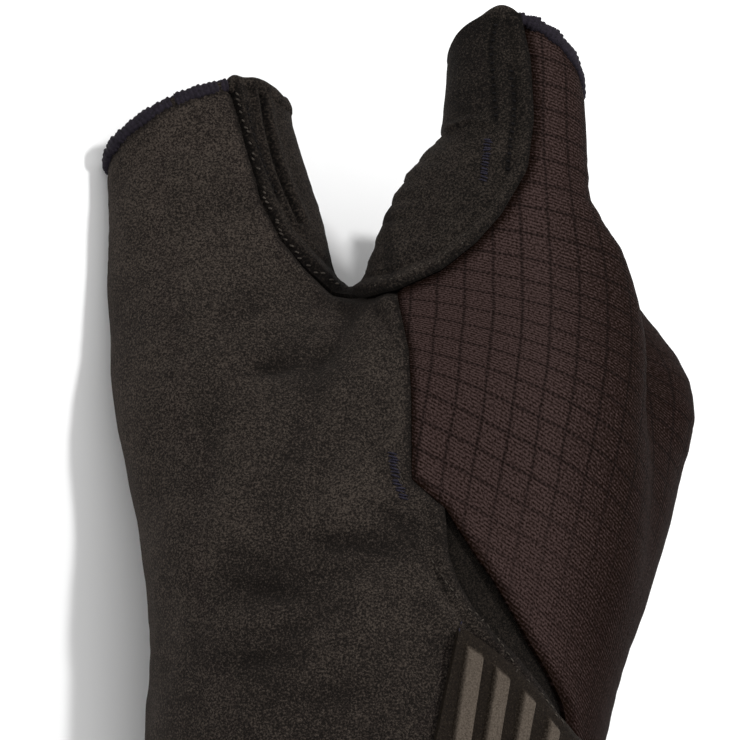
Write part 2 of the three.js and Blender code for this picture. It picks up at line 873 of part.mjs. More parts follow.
// Closed solid between two depths below a skin
function thicken(skin, top, bottom) {
  const count = skin.points.length;
  const normals = skin.points.map((p) => unit(slopeAt(p, PANEL_WALL)));
  const points = [
    ...skin.points.map((p, i) => along(p, normals[i], -top)),
    ...skin.points.map((p, i) => along(p, normals[i], -bottom)),
  ];
  const triangles = [];
  const edges = new Set();
  for (const [a, b, c] of skin.triangles) {
    triangles.push([a, b, c], [a + count, c + count, b + count]);
    for (const [i, j] of [[a, b], [b, c], [c, a]]) edges.add(`${i}_${j}`);
  }
  for (const edge of edges) {
    const [i, j] = edge.split('_').map(Number);
    if (edges.has(`${j}_${i}`)) continue;
    triangles.push([j, i, i + count], [j, i + count, j + count]);
  }
  return { points, triangles };
}

// Loop of points round an open end, halfway through the wall
function rimLoop(centre, normal, wide, deep, steps) {
  const depth = PANEL_WALL / 2;
  const loop = [];
  for (let i = 0; i < steps; i++) {
    const turn = (2 * Math.PI * i) / steps;
    const flat = add(scale(wide, Math.cos(turn)), scale(deep, Math.sin(turn)));
    const ray = unit(along(flat, normal, -dot(flat, normal)));
    let inner = 1;
    while (glove(along(centre, ray, inner + 1)) < -depth && inner < 80) inner += 1;
    let outer = inner + 1;
    for (let n = 0; n < 30; n++) {
      const middle = (inner + outer) / 2;
      if (glove(along(centre, ray, middle)) < -depth) inner = middle;
      else outer = middle;
    }
    loop.push(along(centre, ray, inner));
  }
  return loop;
}

// Bound edge: a six-sided cord round an open end
function binding(loop, normal) {
  const count = loop.length;
  const half = BINDING_WIDTH / 2;
  const thick = BINDING_THICKNESS / 2;
  const section = [
    [0, 0],
    [half * 0.5, thick],
    [half * 1.5, thick],
    [half * 2, 0],
    [half * 1.5, -thick],
    [half * 0.5, -thick],
  ];
  const points = [];
  loop.forEach((p, i) => {
    const run = unit(sub(loop[(i + 1) % count], loop[(i + count - 1) % count]));
    const slope = slopeAt(p);
    const outward = unit(along(slope, run, -dot(slope, run)));
    let down = cross(outward, run);
    if (dot(down, normal) > 0) down = scale(down, -1);
    for (const [d, n] of section) {
      const q = along(along(p, down, d), outward, n);
      points.push(along(q, TABLE_NORMAL, Math.max(0, -tableHeight(q))));
    }
  });
  const triangles = [];
  const sides = section.length;
  for (let i = 0; i < count; i++) {
    for (let j = 0; j < sides; j++) {
      const a = i * sides + j;
      const b = i * sides + ((j + 1) % sides);
      const c = ((i + 1) % count) * sides + j;
      const d = ((i + 1) % count) * sides + ((j + 1) % sides);
      triangles.push([a, b, d], [a, d, c]);
    }
  }
  return { points, triangles };
}

// Turns a solid's triangles outward when they face inward
function faceOutward(solid) {
  let volume = 0;
  for (const [a, b, c] of solid.triangles) {
    volume += dot(solid.points[a], cross(solid.points[b], solid.points[c]));
  }
  if (volume < 0) solid.triangles.forEach((t) => t.reverse());
  return solid;
}

// Named mesh on the table from a solid of the hand frame
function mesh(name, solid, finish) {
  const { points, triangles } = faceOutward(solid);
  const seated = points.map((p) => {
    const q = toTable(p);
    return Math.abs(q[2]) < 0.01 ? [q[0], q[1], 0] : q;
  });
  const handed = faceOutward({ points: seated, triangles });
  const geometry = new THREE.BufferGeometry();
  const flat = new Float32Array(handed.points.flat());
  geometry.setAttribute('position', new THREE.BufferAttribute(flat, 3));
  geometry.setIndex(handed.triangles.flat());
  geometry.computeVertexNormals();
  const material = new THREE.MeshStandardMaterial(FINISHES[finish]);
  const out = new THREE.Mesh(geometry, material);
  out.name = name;
  return out;
}

// Point above the wrist's skin, reached by a ray out of the body tube's axis
function wristPoint(turn, station, lift) {
  const axis = TUBES.body.centres[TUBES.body.nearestCentre(0)];
  const centre = [axis[0], station, axis[2]];
  const ray = [Math.cos(rad(turn)), 0, Math.sin(rad(turn))];
  let inner = 10;
  let outer = 90;
  for (let n = 0; n < 40; n++) {
    const middle = (inner + outer) / 2;
    if (glove(along(centre, ray, middle)) < 0) inner = middle;
    else outer = middle;
  }
  const p = along(centre, ray, inner);
  return along(p, unit(slopeAt(p)), lift);
}

// Closure tab as a closed solid that lies on the wrist
function closureTab() {
  const columns = TAB_COLUMNS.length;
  const rows = TAB_ROWS.length;
  const upper = [];
  const lower = [];
  for (const [turnTop, alongTop, turnBottom, rise] of TAB_COLUMNS) {
    const rounding = Math.max(0, -turnTop - 20) * 0.35;
    const bottom = TAB_BOTTOM_ALONG + rounding;
    for (const [fromTop, fromBottom, share] of TAB_ROWS) {
      const run = alongTop - bottom;
      const reach = Math.min(1, 11 / run);
      const down = fromTop === null ? run - fromBottom * Math.min(1, run / 20) : fromTop * reach;
      const t = down / run;
      const turn = mix(turnTop, turnBottom, t);
      const station = alongTop - down;
      const high = TAB_GAP + TAB_WALL + BAR_HEIGHT * rise * share;
      upper.push(wristPoint(turn, station, high));
      lower.push(wristPoint(turn, station, TAB_GAP));
    }
  }
  const count = columns * rows;
  const points = [...upper, ...lower];
  const triangles = [];
  const quad = (a, b, c, d) => triangles.push([a, b, c], [a, c, d]);
  for (let i = 0; i < columns - 1; i++) {
    for (let j = 0; j < rows - 1; j++) {
      const a = i * rows + j;
      quad(a, a + 1, a + rows + 1, a + rows);
      quad(a + count, a + rows + count, a + rows + 1 + count, a + 1 + count);
    }
  }
  for (let i = 0; i < columns - 1; i++) {
    const a = i * rows;
    const b = a + rows;
    const c = a + rows - 1;
    const d = b + rows - 1;
    quad(a, b, b + count, a + count);
    quad(c, c + count, d + count, d);
  }
  for (let j = 0; j < rows - 1; j++) {
    const a = j;
    const b = (columns - 1) * rows + j;
    quad(a, a + count, a + 1 + count, a + 1);
    quad(b, b + 1, b + 1 + count, b + count);
  }
  return { points, triangles };
}

async function build() {
  const group = new THREE.Group();
  group.name = 'cycling_glove';
  const skin = await thinOut(traceSkin());

  // Panels, cut apart along the seams
  const bound = BINDING_WIDTH + SEAM_GAP;
  const half = SEAM_GAP / 2;
  const trimmed = clip(skin, (p) => belowRims(p) - bound);
  const web = clip(trimmed, (p) => onWeb(p) - half);
  const rest = clip(trimmed, (p) => -onWeb(p) - half);
  const palm = clip(rest, (p) => -onBack(p, SLIT_PALM_EDGE) - half);
  const back = clip(rest, (p) => onBack(p, SLIT_BACK_EDGE) - half);
  const slitArea = refineNear(trimmed, inSlit, SLIT_REFINED, SLIT_REFINED);
  const slit = clip(slitArea, (p) => inSlit(p) + SLIT_TUCK);
  const under = PANEL_WALL + LAYER_GAP;
  group.add(mesh('palm_panel', thicken(palm, 0, PANEL_WALL), 'suede'));
  group.add(mesh('back_panel', thicken(back, 0, PANEL_WALL), 'ripstop'));
  group.add(mesh('web_gusset', thicken(web, 0, PANEL_WALL), 'dark_suede'));
  group.add(mesh('slit_gusset', thicken(slit, under, under + GUSSET_WALL), 'slit_suede'));
  group.add(mesh('closure_tab', closureTab(), 'rubber'));

  // Bound edges of the stalls and the wrist hem
  for (const name of Object.keys(RIMS)) {
    const { centre, normal, frame } = RIM_PLANES[name];
    const loop = rimLoop(centre, normal, frame.wide, frame.deep, RIMS[name][3]);
    group.add(mesh(`${name}_binding`, binding(loop, normal), 'binding_thread'));
  }
  const axis = TUBES.body.centres[TUBES.body.nearestCentre(HEM_ALONG)];
  const hemCentre = [axis[0], HEM_ALONG, axis[2]];
  const hem = rimLoop(hemCentre, [0, -1, 0], [1, 0, 0], [0, 0, 1], HEM_STEPS);
  group.add(mesh('hem_binding', binding(hem, [0, -1, 0]), 'binding_thread'));
  return group;
}

export default await build();
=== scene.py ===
"""Looks of a half-finger cycling glove for the right hand.

A suede palm, a ripstop back and a rubber closure tab are cut from one smooth form. Lengths are
millimetres in the hand frame (across, along, out) until a mesh is made, and metres from then on.
"""

import logging
import math
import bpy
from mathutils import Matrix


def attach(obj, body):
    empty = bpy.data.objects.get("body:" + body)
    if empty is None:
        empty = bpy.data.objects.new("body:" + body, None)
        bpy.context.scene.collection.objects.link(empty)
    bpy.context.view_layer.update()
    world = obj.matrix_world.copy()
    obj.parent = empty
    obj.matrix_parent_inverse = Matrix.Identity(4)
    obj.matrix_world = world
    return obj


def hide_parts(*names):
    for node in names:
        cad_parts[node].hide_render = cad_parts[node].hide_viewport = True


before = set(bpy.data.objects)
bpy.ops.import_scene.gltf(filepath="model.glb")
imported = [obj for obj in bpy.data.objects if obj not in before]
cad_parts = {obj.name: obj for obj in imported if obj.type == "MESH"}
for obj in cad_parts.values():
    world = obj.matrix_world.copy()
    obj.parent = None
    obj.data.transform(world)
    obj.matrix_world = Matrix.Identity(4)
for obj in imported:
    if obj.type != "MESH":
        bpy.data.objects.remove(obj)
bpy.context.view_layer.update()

from concurrent.futures import ThreadPoolExecutor
from dataclasses import dataclass, field
from enum import Enum
from typing import ClassVar

import bpy
import numpy as np
from mathutils import Matrix, Vector
from mathutils.bvhtree import BVHTree
from mathutils.kdtree import KDTree

LOG = logging.getLogger("glove")
Array = np.ndarray
METRE = 0.001
THREADS, BLOCK_POINTS = 4, 12000


# Frames


@dataclass(frozen=True)
class RestingPose:
    """How the hand frame lies on the table, the plane Z = 0."""

    # Degrees about the hand's length, then millimetres
    turn: float = 55.0
    rise: float = -0.5
    centre_x: float = -76.9
    centre_y: float = -57.85

    def height(self, p: Array) -> Array:
        """Height above the table of points of the hand frame."""
        t = math.radians(self.turn)
        return p[..., 0] * math.cos(t) + p[..., 2] * math.sin(t) + self.rise

    def to_table(self, p: Array) -> Array:
        """Hand frame to table frame, both in millimetres.

        Args:
            p: Points of the hand frame.

        Returns:
            The points in the table frame.
        """
        t = math.radians(self.turn)
        x = p[..., 0] * math.sin(t) - p[..., 2] * math.cos(t) + self.centre_x
        return np.stack([x, p[..., 1] + self.centre_y, self.height(p)], -1)

    def up(self) -> Array:
        """Direction in the hand frame that points up from the table."""
        t = math.radians(self.turn)
        return np.array([math.cos(t), 0.0, math.sin(t)])


@dataclass(frozen=True)
class PatternSheet:
    """Flat sheet that the seams are drawn on, seen from a point on the viewer's side."""

    # Degrees that the sheet leans, and how far off the eye is
    tilt: float = 14.0
    distance: float = 600.0
    centre: tuple = (68.5, 70.6, 0.0)
    middle: float = 68.5
    width: float = 740 / 5.4

    def axes(self) -> tuple[Array, Array, Array]:
        """Directions of the sheet in the hand frame.

        Returns:
            Right, up and back.
        """
        t = math.radians(self.tilt)
        up = np.array([0.0, math.cos(t), math.sin(t)])
        back = np.array([0.0, -math.sin(t), math.cos(t)])
        return np.array([1.0, 0.0, 0.0]), up, back

    def eye(self) -> Array:
        """Point that the sheet is seen from."""
        return np.array(self.centre) + self.axes()[2] * self.distance

    def project(self, p: Array) -> tuple[Array, Array]:
        """Sheet coordinates of points of the hand frame.

        Args:
            p: The points.

        Returns:
            Sheet u and sheet v of each point.
        """
        right, up, back = self.axes()
        q = p - np.array(self.centre)
        grow = self.distance / (self.distance - q @ back)
        return self.middle + (q @ right) * grow, self.middle + (q @ up) * grow

    def ray(self, u: float, v: float) -> tuple[Array, Array]:
        """Line of sight through a point of the sheet.

        Args:
            u: First sheet coordinate.
            v: Second sheet coordinate.

        Returns:
            Start of the line and its direction of length one.
        """
        right, up, _ = self.axes()
        target = np.array(self.centre) + right * (u - self.middle) + up * (v - self.middle)
        return self.eye(), unit(target - self.eye())


POSE = RestingPose()
SHEET = PatternSheet()


# The glove's form


def refine(rows: Array, steps: int = 4) -> Array:
    """Smooth curve through section rows.

    Args:
        rows: One row of numbers for each section.
        steps: Rows made for each gap.

    Returns:
        The finer rows.
    """
    r = np.array(rows, float)
    p = np.vstack([2 * r[0] - r[1], r, 2 * r[-1] - r[-2]])
    out = []
    for i in range(1, len(p) - 2):
        p0, p1, p2, p3 = p[i - 1 : i + 3]
        for t in np.arange(steps) / steps:
            bend = (2 * p0 - 5 * p1 + 4 * p2 - p3) * t**2
            bend += (3 * p1 - p0 - 3 * p2 + p3) * t**3
            out.append(0.5 * (2 * p1 + (p2 - p0) * t + bend))
    return np.array(out + [r[-1]])


def unit(v: Array) -> Array:
    """Vectors at length one."""
    return v / np.maximum(np.linalg.norm(v, axis=-1, keepdims=True), 1e-12)


class Tube:
    """Elliptical tube through section rows: along, across, out, half width, half depth, roll."""

    def __init__(self, rows: list[tuple]) -> None:
        """Works out the centre line and the section frames.

        Args:
            rows: The section rows.
        """
        s = refine(np.array(rows))
        self.centres = s[:, [1, 0, 2]]
        ends = np.concatenate([self.centres[:1], self.centres, self.centres[-1:]])
        run = unit(ends[2:] - ends[:-2])
        roll = np.radians(s[:, 5])
        flat = np.stack([np.cos(roll), 0 * roll, np.sin(roll)], -1)
        self.wide = unit(flat - (flat * run).sum(1, keepdims=True) * run)
        self.deep = np.cross(self.wide, run)
        self.half_width, self.half_depth = s[:, 3], s[:, 4]

    def distance(self, p: Array) -> Array:
        """Near distance to the tube's skin, negative inside.

        Args:
            p: Points of the hand frame.

        Returns:
            One distance for each point.
        """
        best = np.full(p.shape[:-1], 1e9)
        for i in range(len(self.centres) - 1):
            start, step = self.centres[i], self.centres[i + 1] - self.centres[i]
            q = p - start
            t = np.clip(q @ step / (step @ step), 0, 1)
            q = q - t[..., None] * step
            w = self.half_width[i] + t * (self.half_width[i + 1] - self.half_width[i])
            d = self.half_depth[i] + t * (self.half_depth[i + 1] - self.half_depth[i])
            e = np.minimum(w, d)
            x = q @ ((self.wide[i] + self.wide[i + 1]) * 0.5)
            y = q @ ((self.deep[i] + self.deep[i + 1]) * 0.5)
            z = q @ unit(step)
            reach = np.sqrt((x / w) ** 2 + (y / d) ** 2 + (z / e) ** 2) + 1e-9
            slope = np.sqrt((x / w**2) ** 2 + (y / d**2) ** 2 + (z / e**2) ** 2) + 1e-9
            np.minimum(best, reach * (reach - 1) / slope, out=best)
        return best

    def nearest(self, station: float) -> int:
        """Index of the centre nearest to a station along the hand."""
        return int(np.abs(self.centres[:, 1] - station).argmin())


def smooth_min(x: Array, y: Array, width: float) -> Array:
    """Smaller of two distances, blended over a width."""
    h = np.maximum(width - np.abs(x - y), 0) / width
    return np.minimum(x, y) - h * h * width * 0.25


def side_of_line(u: Array, v: Array, line: list, closed: bool = False) -> Array:
    """Signed distance on the sheet to a line, positive inside the outline that it closes.

    Args:
        u: First sheet coordinate.
        v: Second sheet coordinate.
        line: Rows of sheet u and sheet v.
        closed: Whether the closing stretch counts as part of the line.

    Returns:
        The distances.
    """
    best = np.full(u.shape, 1e9)
    inside = np.zeros(u.shape, bool)
    for i, (u0, v0) in enumerate(line):
        u1, v1 = line[(i + 1) % len(line)]
        if closed or i < len(line) - 1:
            du, dv = u1 - u0, v1 - v0
            t = np.clip(((u - u0) * du + (v - v0) * dv) / (du * du + dv * dv), 0, 1)
            np.minimum(best, np.hypot(u - u0 - du * t, v - v0 - dv * t), out=best)
        if v0 != v1:
            hit = ((v0 > v) != (v1 > v)) & (u < u0 + (v - v0) / (v1 - v0) * (u1 - u0))
            inside ^= hit
    return np.where(inside, best, -best)


class Noise:
    """Smooth three-dimensional noise from a seeded lattice."""

    def __init__(self, seed: int) -> None:
        """Fills the lattice."""
        self.lattice = np.random.default_rng(seed).random((32, 32, 32)) * 2 - 1

    def at(self, p: Array, size: float) -> Array:
        """Values of the noise at points.

        Args:
            p: Points of the hand frame.
            size: Millimetres over which the values change.

        Returns:
            Values between -1 and 1.
        """
        q = p / size + 100.0
        i = np.floor(q).astype(int)
        f = q - i
        f = f * f * (3 - 2 * f)
        total = np.zeros(p.shape[:-1])
        for c in range(8):
            bits = np.array([c & 1, (c >> 1) & 1, c >> 2])
            w = np.where(bits, f, 1 - f).prod(-1)
            j = (i + bits) % 32
            total += w * self.lattice[j[..., 0], j[..., 1], j[..., 2]]
        return total


@dataclass(frozen=True)
class Seams:
    """Seams as rows of sheet u and sheet v, and those away from the viewer as along and across."""

    web_edge: tuple = (
        (41.0, 131.0), (42.6, 121.3), (45.4, 111.0), (48.5, 100.0), (52.0, 93.0), (56.5, 88.0),
        (62.0, 83.3), (66.3, 82.6), (73.0, 83.3), (81.5, 87.0), (88.0, 92.0), (92.8, 97.4),
        (97.6, 105.6), (98.7, 114.8), (98.1, 125.9), (96.3, 134.3), (95.5, 150.0),
    )
    web_edge_hidden: tuple = (
        (51, 150), (52, 105), (55, 95), (60, 85), (67, 79), (75, 78), (84, 82), (90, 90),
        (95, 97), (101, 99), (120, 99), (120, 150),
    )
    above_slit: tuple = (
        (70.0, 160.0), (72.6, 87.0), (73.1, 83.3), (75.6, 72.2), (76.1, 63.0), (76.3, 48.5),
        (82.4, 43.2),
    )
    slit_back_edge: tuple = (
        (85.2, 38.9), (91.9, 28.9), (97.0, 20.4), (102.2, 11.9), (104.8, 6.3),
    )
    slit_palm_edge: tuple = (
        (83.0, 34.5), (84.8, 29.1), (88.2, 23.9), (91.4, 19.9), (96.4, 15.0), (101.4, 7.8),
        (103.9, 3.6),
    )
    below_slit: tuple = ((105.6, 0.9), (103.0, -8.0), (100.0, -40.0))
    # Two corners that close the outline far to the right of the glove
    beyond: tuple = ((300, -40), (300, 160))
    far: dict = field(default_factory=lambda: {
        "body": ((-40, 86), (-20, 88), (0, 91), (30, 96), (55, 99), (75, 103)),
        "index": ((60, 90), (90, 92), (110, 96), (150, 96.5)),
        "middle": ((60, 100), (71, 102), (86, 103), (102, 102.5), (120, 98.5), (140, 95.5)),
        "ring": ((60, 102), (80, 105), (94, 105), (112, 101), (130, 97)),
        "little": ((52, 98), (74, 102), (88, 105), (102, 105.5), (120, 102.5)),
    })

    def slit(self) -> list:
        """Outline of the wrist slit."""
        below = [(105.6, 0.9), *reversed(self.slit_palm_edge)]
        return [(82.4, 43.2), *self.slit_back_edge, *below]


class GloveForm:
    """The glove's whole outer form as one smooth distance, from seven tubes and soft dents."""

    SECTIONS = {
        "body": [
            (-40, 69.5, -11, 35, 29, -10), (-20, 68.9, -11, 38.3, 30, -12),
            (0, 69.0, -11.5, 41.8, 31, -13), (20, 72, -12, 43.5, 31, -13),
            (38, 75, -13, 45.5, 29.5, -12), (52, 78, -14, 43, 27, -11),
            (62, 81, -14.5, 36, 24, -10),
        ],
        "thumb": [
            (10, 57.5, -7, 25.5, 20, 0), (30, 53, -6.5, 23.6, 20, 0), (50, 47.4, -6.5, 23.0, 19, 0),
            (68, 42.7, -7.6, 22.3, 16.5, 0), (86, 40.6, -9.9, 21.8, 13.6, 0),
            (98, 39.2, -10.6, 20.8, 12.4, 0), (112, 36.7, -10.5, 19.0, 11.2, 0),
            (126, 34.3, -9.9, 17.9, 10.5, 0), (150, 31, -9, 17, 10, 0),
        ],
        "knuckles": [
            (28, 94, -22, 24, 13, -72), (42, 100, -24, 29, 17.5, -72),
            (52, 103.5, -26, 31, 19.5, -72), (59, 104.5, -27.5, 29.5, 18.5, -72),
        ],
        "index": [
            (40, 98, -5, 18, 15, -10), (58, 97, -1, 22, 15.5, -8), (74, 95.5, 0.4, 24.5, 13.6, -6),
            (88, 92.4, 1.2, 24.0, 11.2, -3), (99, 92.6, 1.4, 19.6, 10.0, 0),
            (109, 95.4, 1.0, 14.4, 9.9, 0), (122, 96.2, 0.5, 12.9, 9.9, 0),
            (150, 96.2, -0.5, 11.2, 9.9, 0),
        ],
        "middle": [
            (40, 104, -18, 14, 13, -35), (58, 112.8, -18.5, 15, 11, -30),
            (71, 116, -20, 15.8, 9.6, -28), (86, 109, -23.2, 13.2, 8.6, -25),
            (102, 102.5, -25.4, 12, 8.2, -20), (120, 98.5, -27, 11.6, 8.2, -15),
            (140, 95.5, -29, 11, 8.2, -15),
        ],
        "ring": [
            (38, 103, -32, 13, 12, -45), (56, 111, -37, 14.5, 10, -40),
            (68, 113, -40.5, 14.2, 8.9, -35), (80, 111, -43.8, 12.6, 8.2, -30),
            (94, 106, -46.4, 11.8, 7.9, -25), (112, 101, -48.8, 11.4, 7.9, -20),
            (130, 97, -50.5, 10.8, 7.9, -20),
        ],
        "little": [
            (34, 97, -43, 12, 10, -60), (52, 105, -52, 12.5, 9, -50),
            (62, 107, -56, 12.2, 8.3, -45), (74, 108, -60.5, 11.2, 7.8, -40),
            (88, 107.5, -64.5, 10.6, 7.5, -30), (102, 105.5, -67, 10.3, 7.4, -25),
            (120, 102.5, -69, 10, 7.4, -25),
        ],
    }
    RIMS = {
        "thumb": (121.3, 0.37, 0.45), "index": (129.8, -0.2, 0.85), "middle": (121, 0.1, 0.2),
        "ring": (113, 0.1, 0.2), "little": (103, 0.1, 0.2),
    }
    # Soft dents of the palm: sheet u, sheet v, half length, half width, turn, depth
    FOLDS = (
        (53.5, 69.5, 9, 5, 15, 1.1), (68, 36, 13, 4.5, 8, 1.2), (50, 27, 11, 4.5, -6, 1.0),
        (49, 14, 7, 4, 10, 0.9), (57, 60, 18, 3, 70, 0.6), (92, 24, 10, 4, -50, 0.7),
    )
    HEM_ALONG = -22.0
    # Line round the back of the hand that the cloth's grid follows: across, out
    PROFILE = (
        (30, 8), (45, 13.5), (60, 16), (75, 16.5), (90, 14.5), (102, 10), (111, 3.5), (117, -5),
        (120, -16), (120.5, -30), (118.5, -44), (113, -58), (104, -69), (92, -76),
    )
    # Lean and fall of the cloth's grid in degrees, and the line round the hand that it turns about
    GRID_LEAN, GRID_FALL, GRID_MIDDLE = 9.0, 27.0, 94.0
    # Stretch along the hand where the flat lines level out, and by how much of their fall
    LEVEL_FROM, LEVEL_LENGTH, LEVEL_SHARE = 62.0, 36.0, 0.75
    # Where round the hand the levelling fades, so that the far stalls keep an even pitch
    FADE_FROM, FADE_WIDTH = 118.0, 25.0
    # Steps and blending width along the profile, and the search along a ray
    PROFILE_STEPS, PROFILE_BLEND = 6, 1.2
    RAY_STEPS, HALVINGS = 27, 11
    # Half steps in millimetres that slopes are read over, and the least slope counted
    NEAR_STEP, WIDE_STEP, LEAST_SLOPE = 0.4, 0.5, 0.2
    BLENDS = {"fingers": 2.5, "knuckles": 12.0, "fist": 9.0, "web": 7.5, "table": 1.0}

    def __init__(self) -> None:
        """Makes the tubes and the planes of the open ends."""
        self.tubes = {n: Tube(rows) for n, rows in self.SECTIONS.items()}
        self.rims = {}
        for name, (station, rise_across, rise_out) in self.RIMS.items():
            tube = self.tubes[name]
            i = tube.nearest(station)
            centre = np.array([tube.centres[i, 0], station, tube.centres[i, 2]])
            normal = unit(np.array([-rise_across, 1.0, -rise_out]))
            self.rims[name] = (centre, normal, tube.wide[i], tube.deep[i])
        axis = self.tubes["body"].centres[self.tubes["body"].nearest(self.HEM_ALONG)]
        hem = np.array([axis[0], self.HEM_ALONG, axis[2]])
        self.hem = (hem, np.array([0, -1.0, 0]), np.array([1.0, 0, 0]), np.array([0, 0, 1.0]))

    def parts(self, p: Array) -> dict[str, Array]:
        """Distance to each tube."""
        return {n: t.distance(p) for n, t in self.tubes.items()}

    def dents(self, p: Array, rows: tuple) -> Array:
        """Depth of soft dents drawn on the sheet, for points that face the viewer.

        Args:
            p: Points of the hand frame.
            rows: Sheet u, sheet v, half length, half width, turn and depth of each dent.

        Returns:
            The depth at each point.
        """
        facing = np.clip((p[..., 2] + 8) / 8, 0, 1)
        u, v = SHEET.project(p)
        depth = np.zeros(u.shape)
        for cu, cv, length, width, turn, deep in rows:
            c, s = math.cos(math.radians(turn)), math.sin(math.radians(turn))
            x = ((u - cu) * c + (v - cv) * s) / length
            y = ((v - cv) * c - (u - cu) * s) / width
            depth += deep * np.exp(-x * x - y * y)
        return depth * facing

    def skin(self, p: Array) -> Array:
        """Near distance to the glove's skin, worked out in blocks side by side.

        Args:
            p: Points of the hand frame.

        Returns:
            One distance for each point, negative inside.
        """
        flat = p.reshape(-1, 3)
        blocks = np.array_split(flat, max(1, len(flat) // BLOCK_POINTS))
        with ThreadPoolExecutor(THREADS) as pool:
            done = list(pool.map(self.skin_block, blocks))
        return np.concatenate(done).reshape(p.shape[:-1])

    def skin_block(self, p: Array) -> Array:
        """Skin distance of one block of points.

        Args:
            p: Rows of points.

        Returns:
            One distance for each row.
        """
        d, b = self.parts(p), self.BLENDS
        fingers = smooth_min(d["index"], d["middle"], b["fingers"])
        fingers = smooth_min(fingers, d["ring"], b["fingers"])
        fingers = smooth_min(fingers, d["little"], b["fingers"])
        fist = smooth_min(d["body"], fingers, b["knuckles"])
        hand = smooth_min(fist, d["knuckles"], b["fist"])
        whole = smooth_min(hand, d["thumb"], b["web"]) + self.dents(p, self.FOLDS)
        return -smooth_min(-whole, POSE.height(p), b["table"])

    def slope(self, p: Array, e: float) -> Array:
        """Slope of the skin distance, from four points in a tetrahedron."""
        way = np.array([(1, -1, -1), (-1, -1, 1), (-1, 1, -1), (1, 1, 1)])
        return sum(w * self.skin(p + w * e)[..., None] for w in way) / (4 * e)

    def to_skin(self, p: Array) -> tuple[Array, Array]:
        """Moves points that are near the skin onto it.

        Args:
            p: The points.

        Returns:
            The moved points and the normals there.
        """
        g = self.slope(p, self.NEAR_STEP)
        steep = np.maximum((g * g).sum(-1), self.LEAST_SLOPE)
        p = p - g * (self.skin(p) / steep)[..., None]
        return p, unit(self.slope(p, self.WIDE_STEP))

    def along_ray(self, start: Array, ray: Array, near: float, far: float,
                  level: float = 0.0) -> Array:
        """Points where rays from inside reach a level of the skin distance.

        Args:
            start: Starts of the rays.
            ray: Directions of length one.
            near: Distance that is surely inside.
            far: Distance that is surely outside.
            level: Skin distance to stop at.

        Returns:
            The points.
        """
        steps = np.linspace(near, far, self.RAY_STEPS)
        hit = np.full(ray.shape[0], far)
        for s in steps[::-1]:
            out = self.skin(start + ray * s) > level
            hit = np.where(out, s, hit)
        lo, hi = hit - (steps[1] - steps[0]), hit
        for _ in range(self.HALVINGS):
            mid = (lo + hi) / 2
            inside = self.skin(start + ray * mid[:, None]) < level
            lo, hi = np.where(inside, mid, lo), np.where(inside, hi, mid)
        return start + ray * lo[:, None]

    def below_rims(self, p: Array, d: dict[str, Array]) -> Array:
        """Distance below the open ends.

        Args:
            p: Points on the skin.
            d: Distance of the points to each tube.

        Returns:
            Distances, positive on the glove.
        """
        names = list(self.rims)
        nearest = np.stack([d[n] for n in names]).argmin(0)
        planes = np.stack([-(p - self.rims[n][0]) @ self.rims[n][1] for n in names])
        chosen = np.take_along_axis(planes, nearest[None], 0)[0]
        return np.minimum(chosen, p[..., 1] - self.HEM_ALONG)

    def fabric(self, p: Array) -> Array:
        """Where the two families of the cloth's grid lines run.

        Args:
            p: Points on the skin.

        Returns:
            Rows of millimetres across the steep lines, across the flat lines, and round the hand.
        """
        line = refine(np.array(self.PROFILE), self.PROFILE_STEPS)
        step = np.diff(line, axis=0)
        length = np.linalg.norm(step, axis=1)
        run = np.concatenate([[0], length.cumsum()])[:-1]
        gaps, runs = [], []
        for a, d, n, r in zip(line, step, length, run):
            q = p[:, [0, 2]] - a
            t = np.clip(q @ d / n**2, 0, 1)
            gaps.append(np.linalg.norm(q - t[:, None] * d, axis=1))
            runs.append(r + t * n)
        gap = np.stack(gaps)
        near = np.exp((gap.min(0) - gap) / self.PROFILE_BLEND)
        s = (near * np.stack(runs)).sum(0) / near.sum(0)
        s = s + self.PROFILE[0][0]
        along = p[:, 1]
        x = np.clip((along - self.LEVEL_FROM) / self.LEVEL_LENGTH, 0, 1)
        up = x * x * (3 - 2 * x)
        steep, flat = math.radians(self.GRID_LEAN), math.radians(self.GRID_FALL)
        grown = np.minimum(along, self.LEVEL_FROM) + self.LEVEL_LENGTH * (x - x**3 + x**4 / 2)
        first = (s - grown * math.tan(steep)) * math.cos(steep)
        far = np.maximum(s - self.FADE_FROM, 0) / self.FADE_WIDTH
        fall = 1 - self.LEVEL_SHARE * (up * np.exp(-(far**2)))
        second = (along + (s - self.GRID_MIDDLE) * math.tan(flat) * fall) * np.cos(flat * (1 - up))
        return np.stack([first, second, s], -1)


# Skin meshes


@dataclass
class Skin:
    """Triangles of the glove's skin with what the panels need to know about each point."""

    points: Array
    normals: Array
    triangles: Array
    values: dict = field(default_factory=dict)


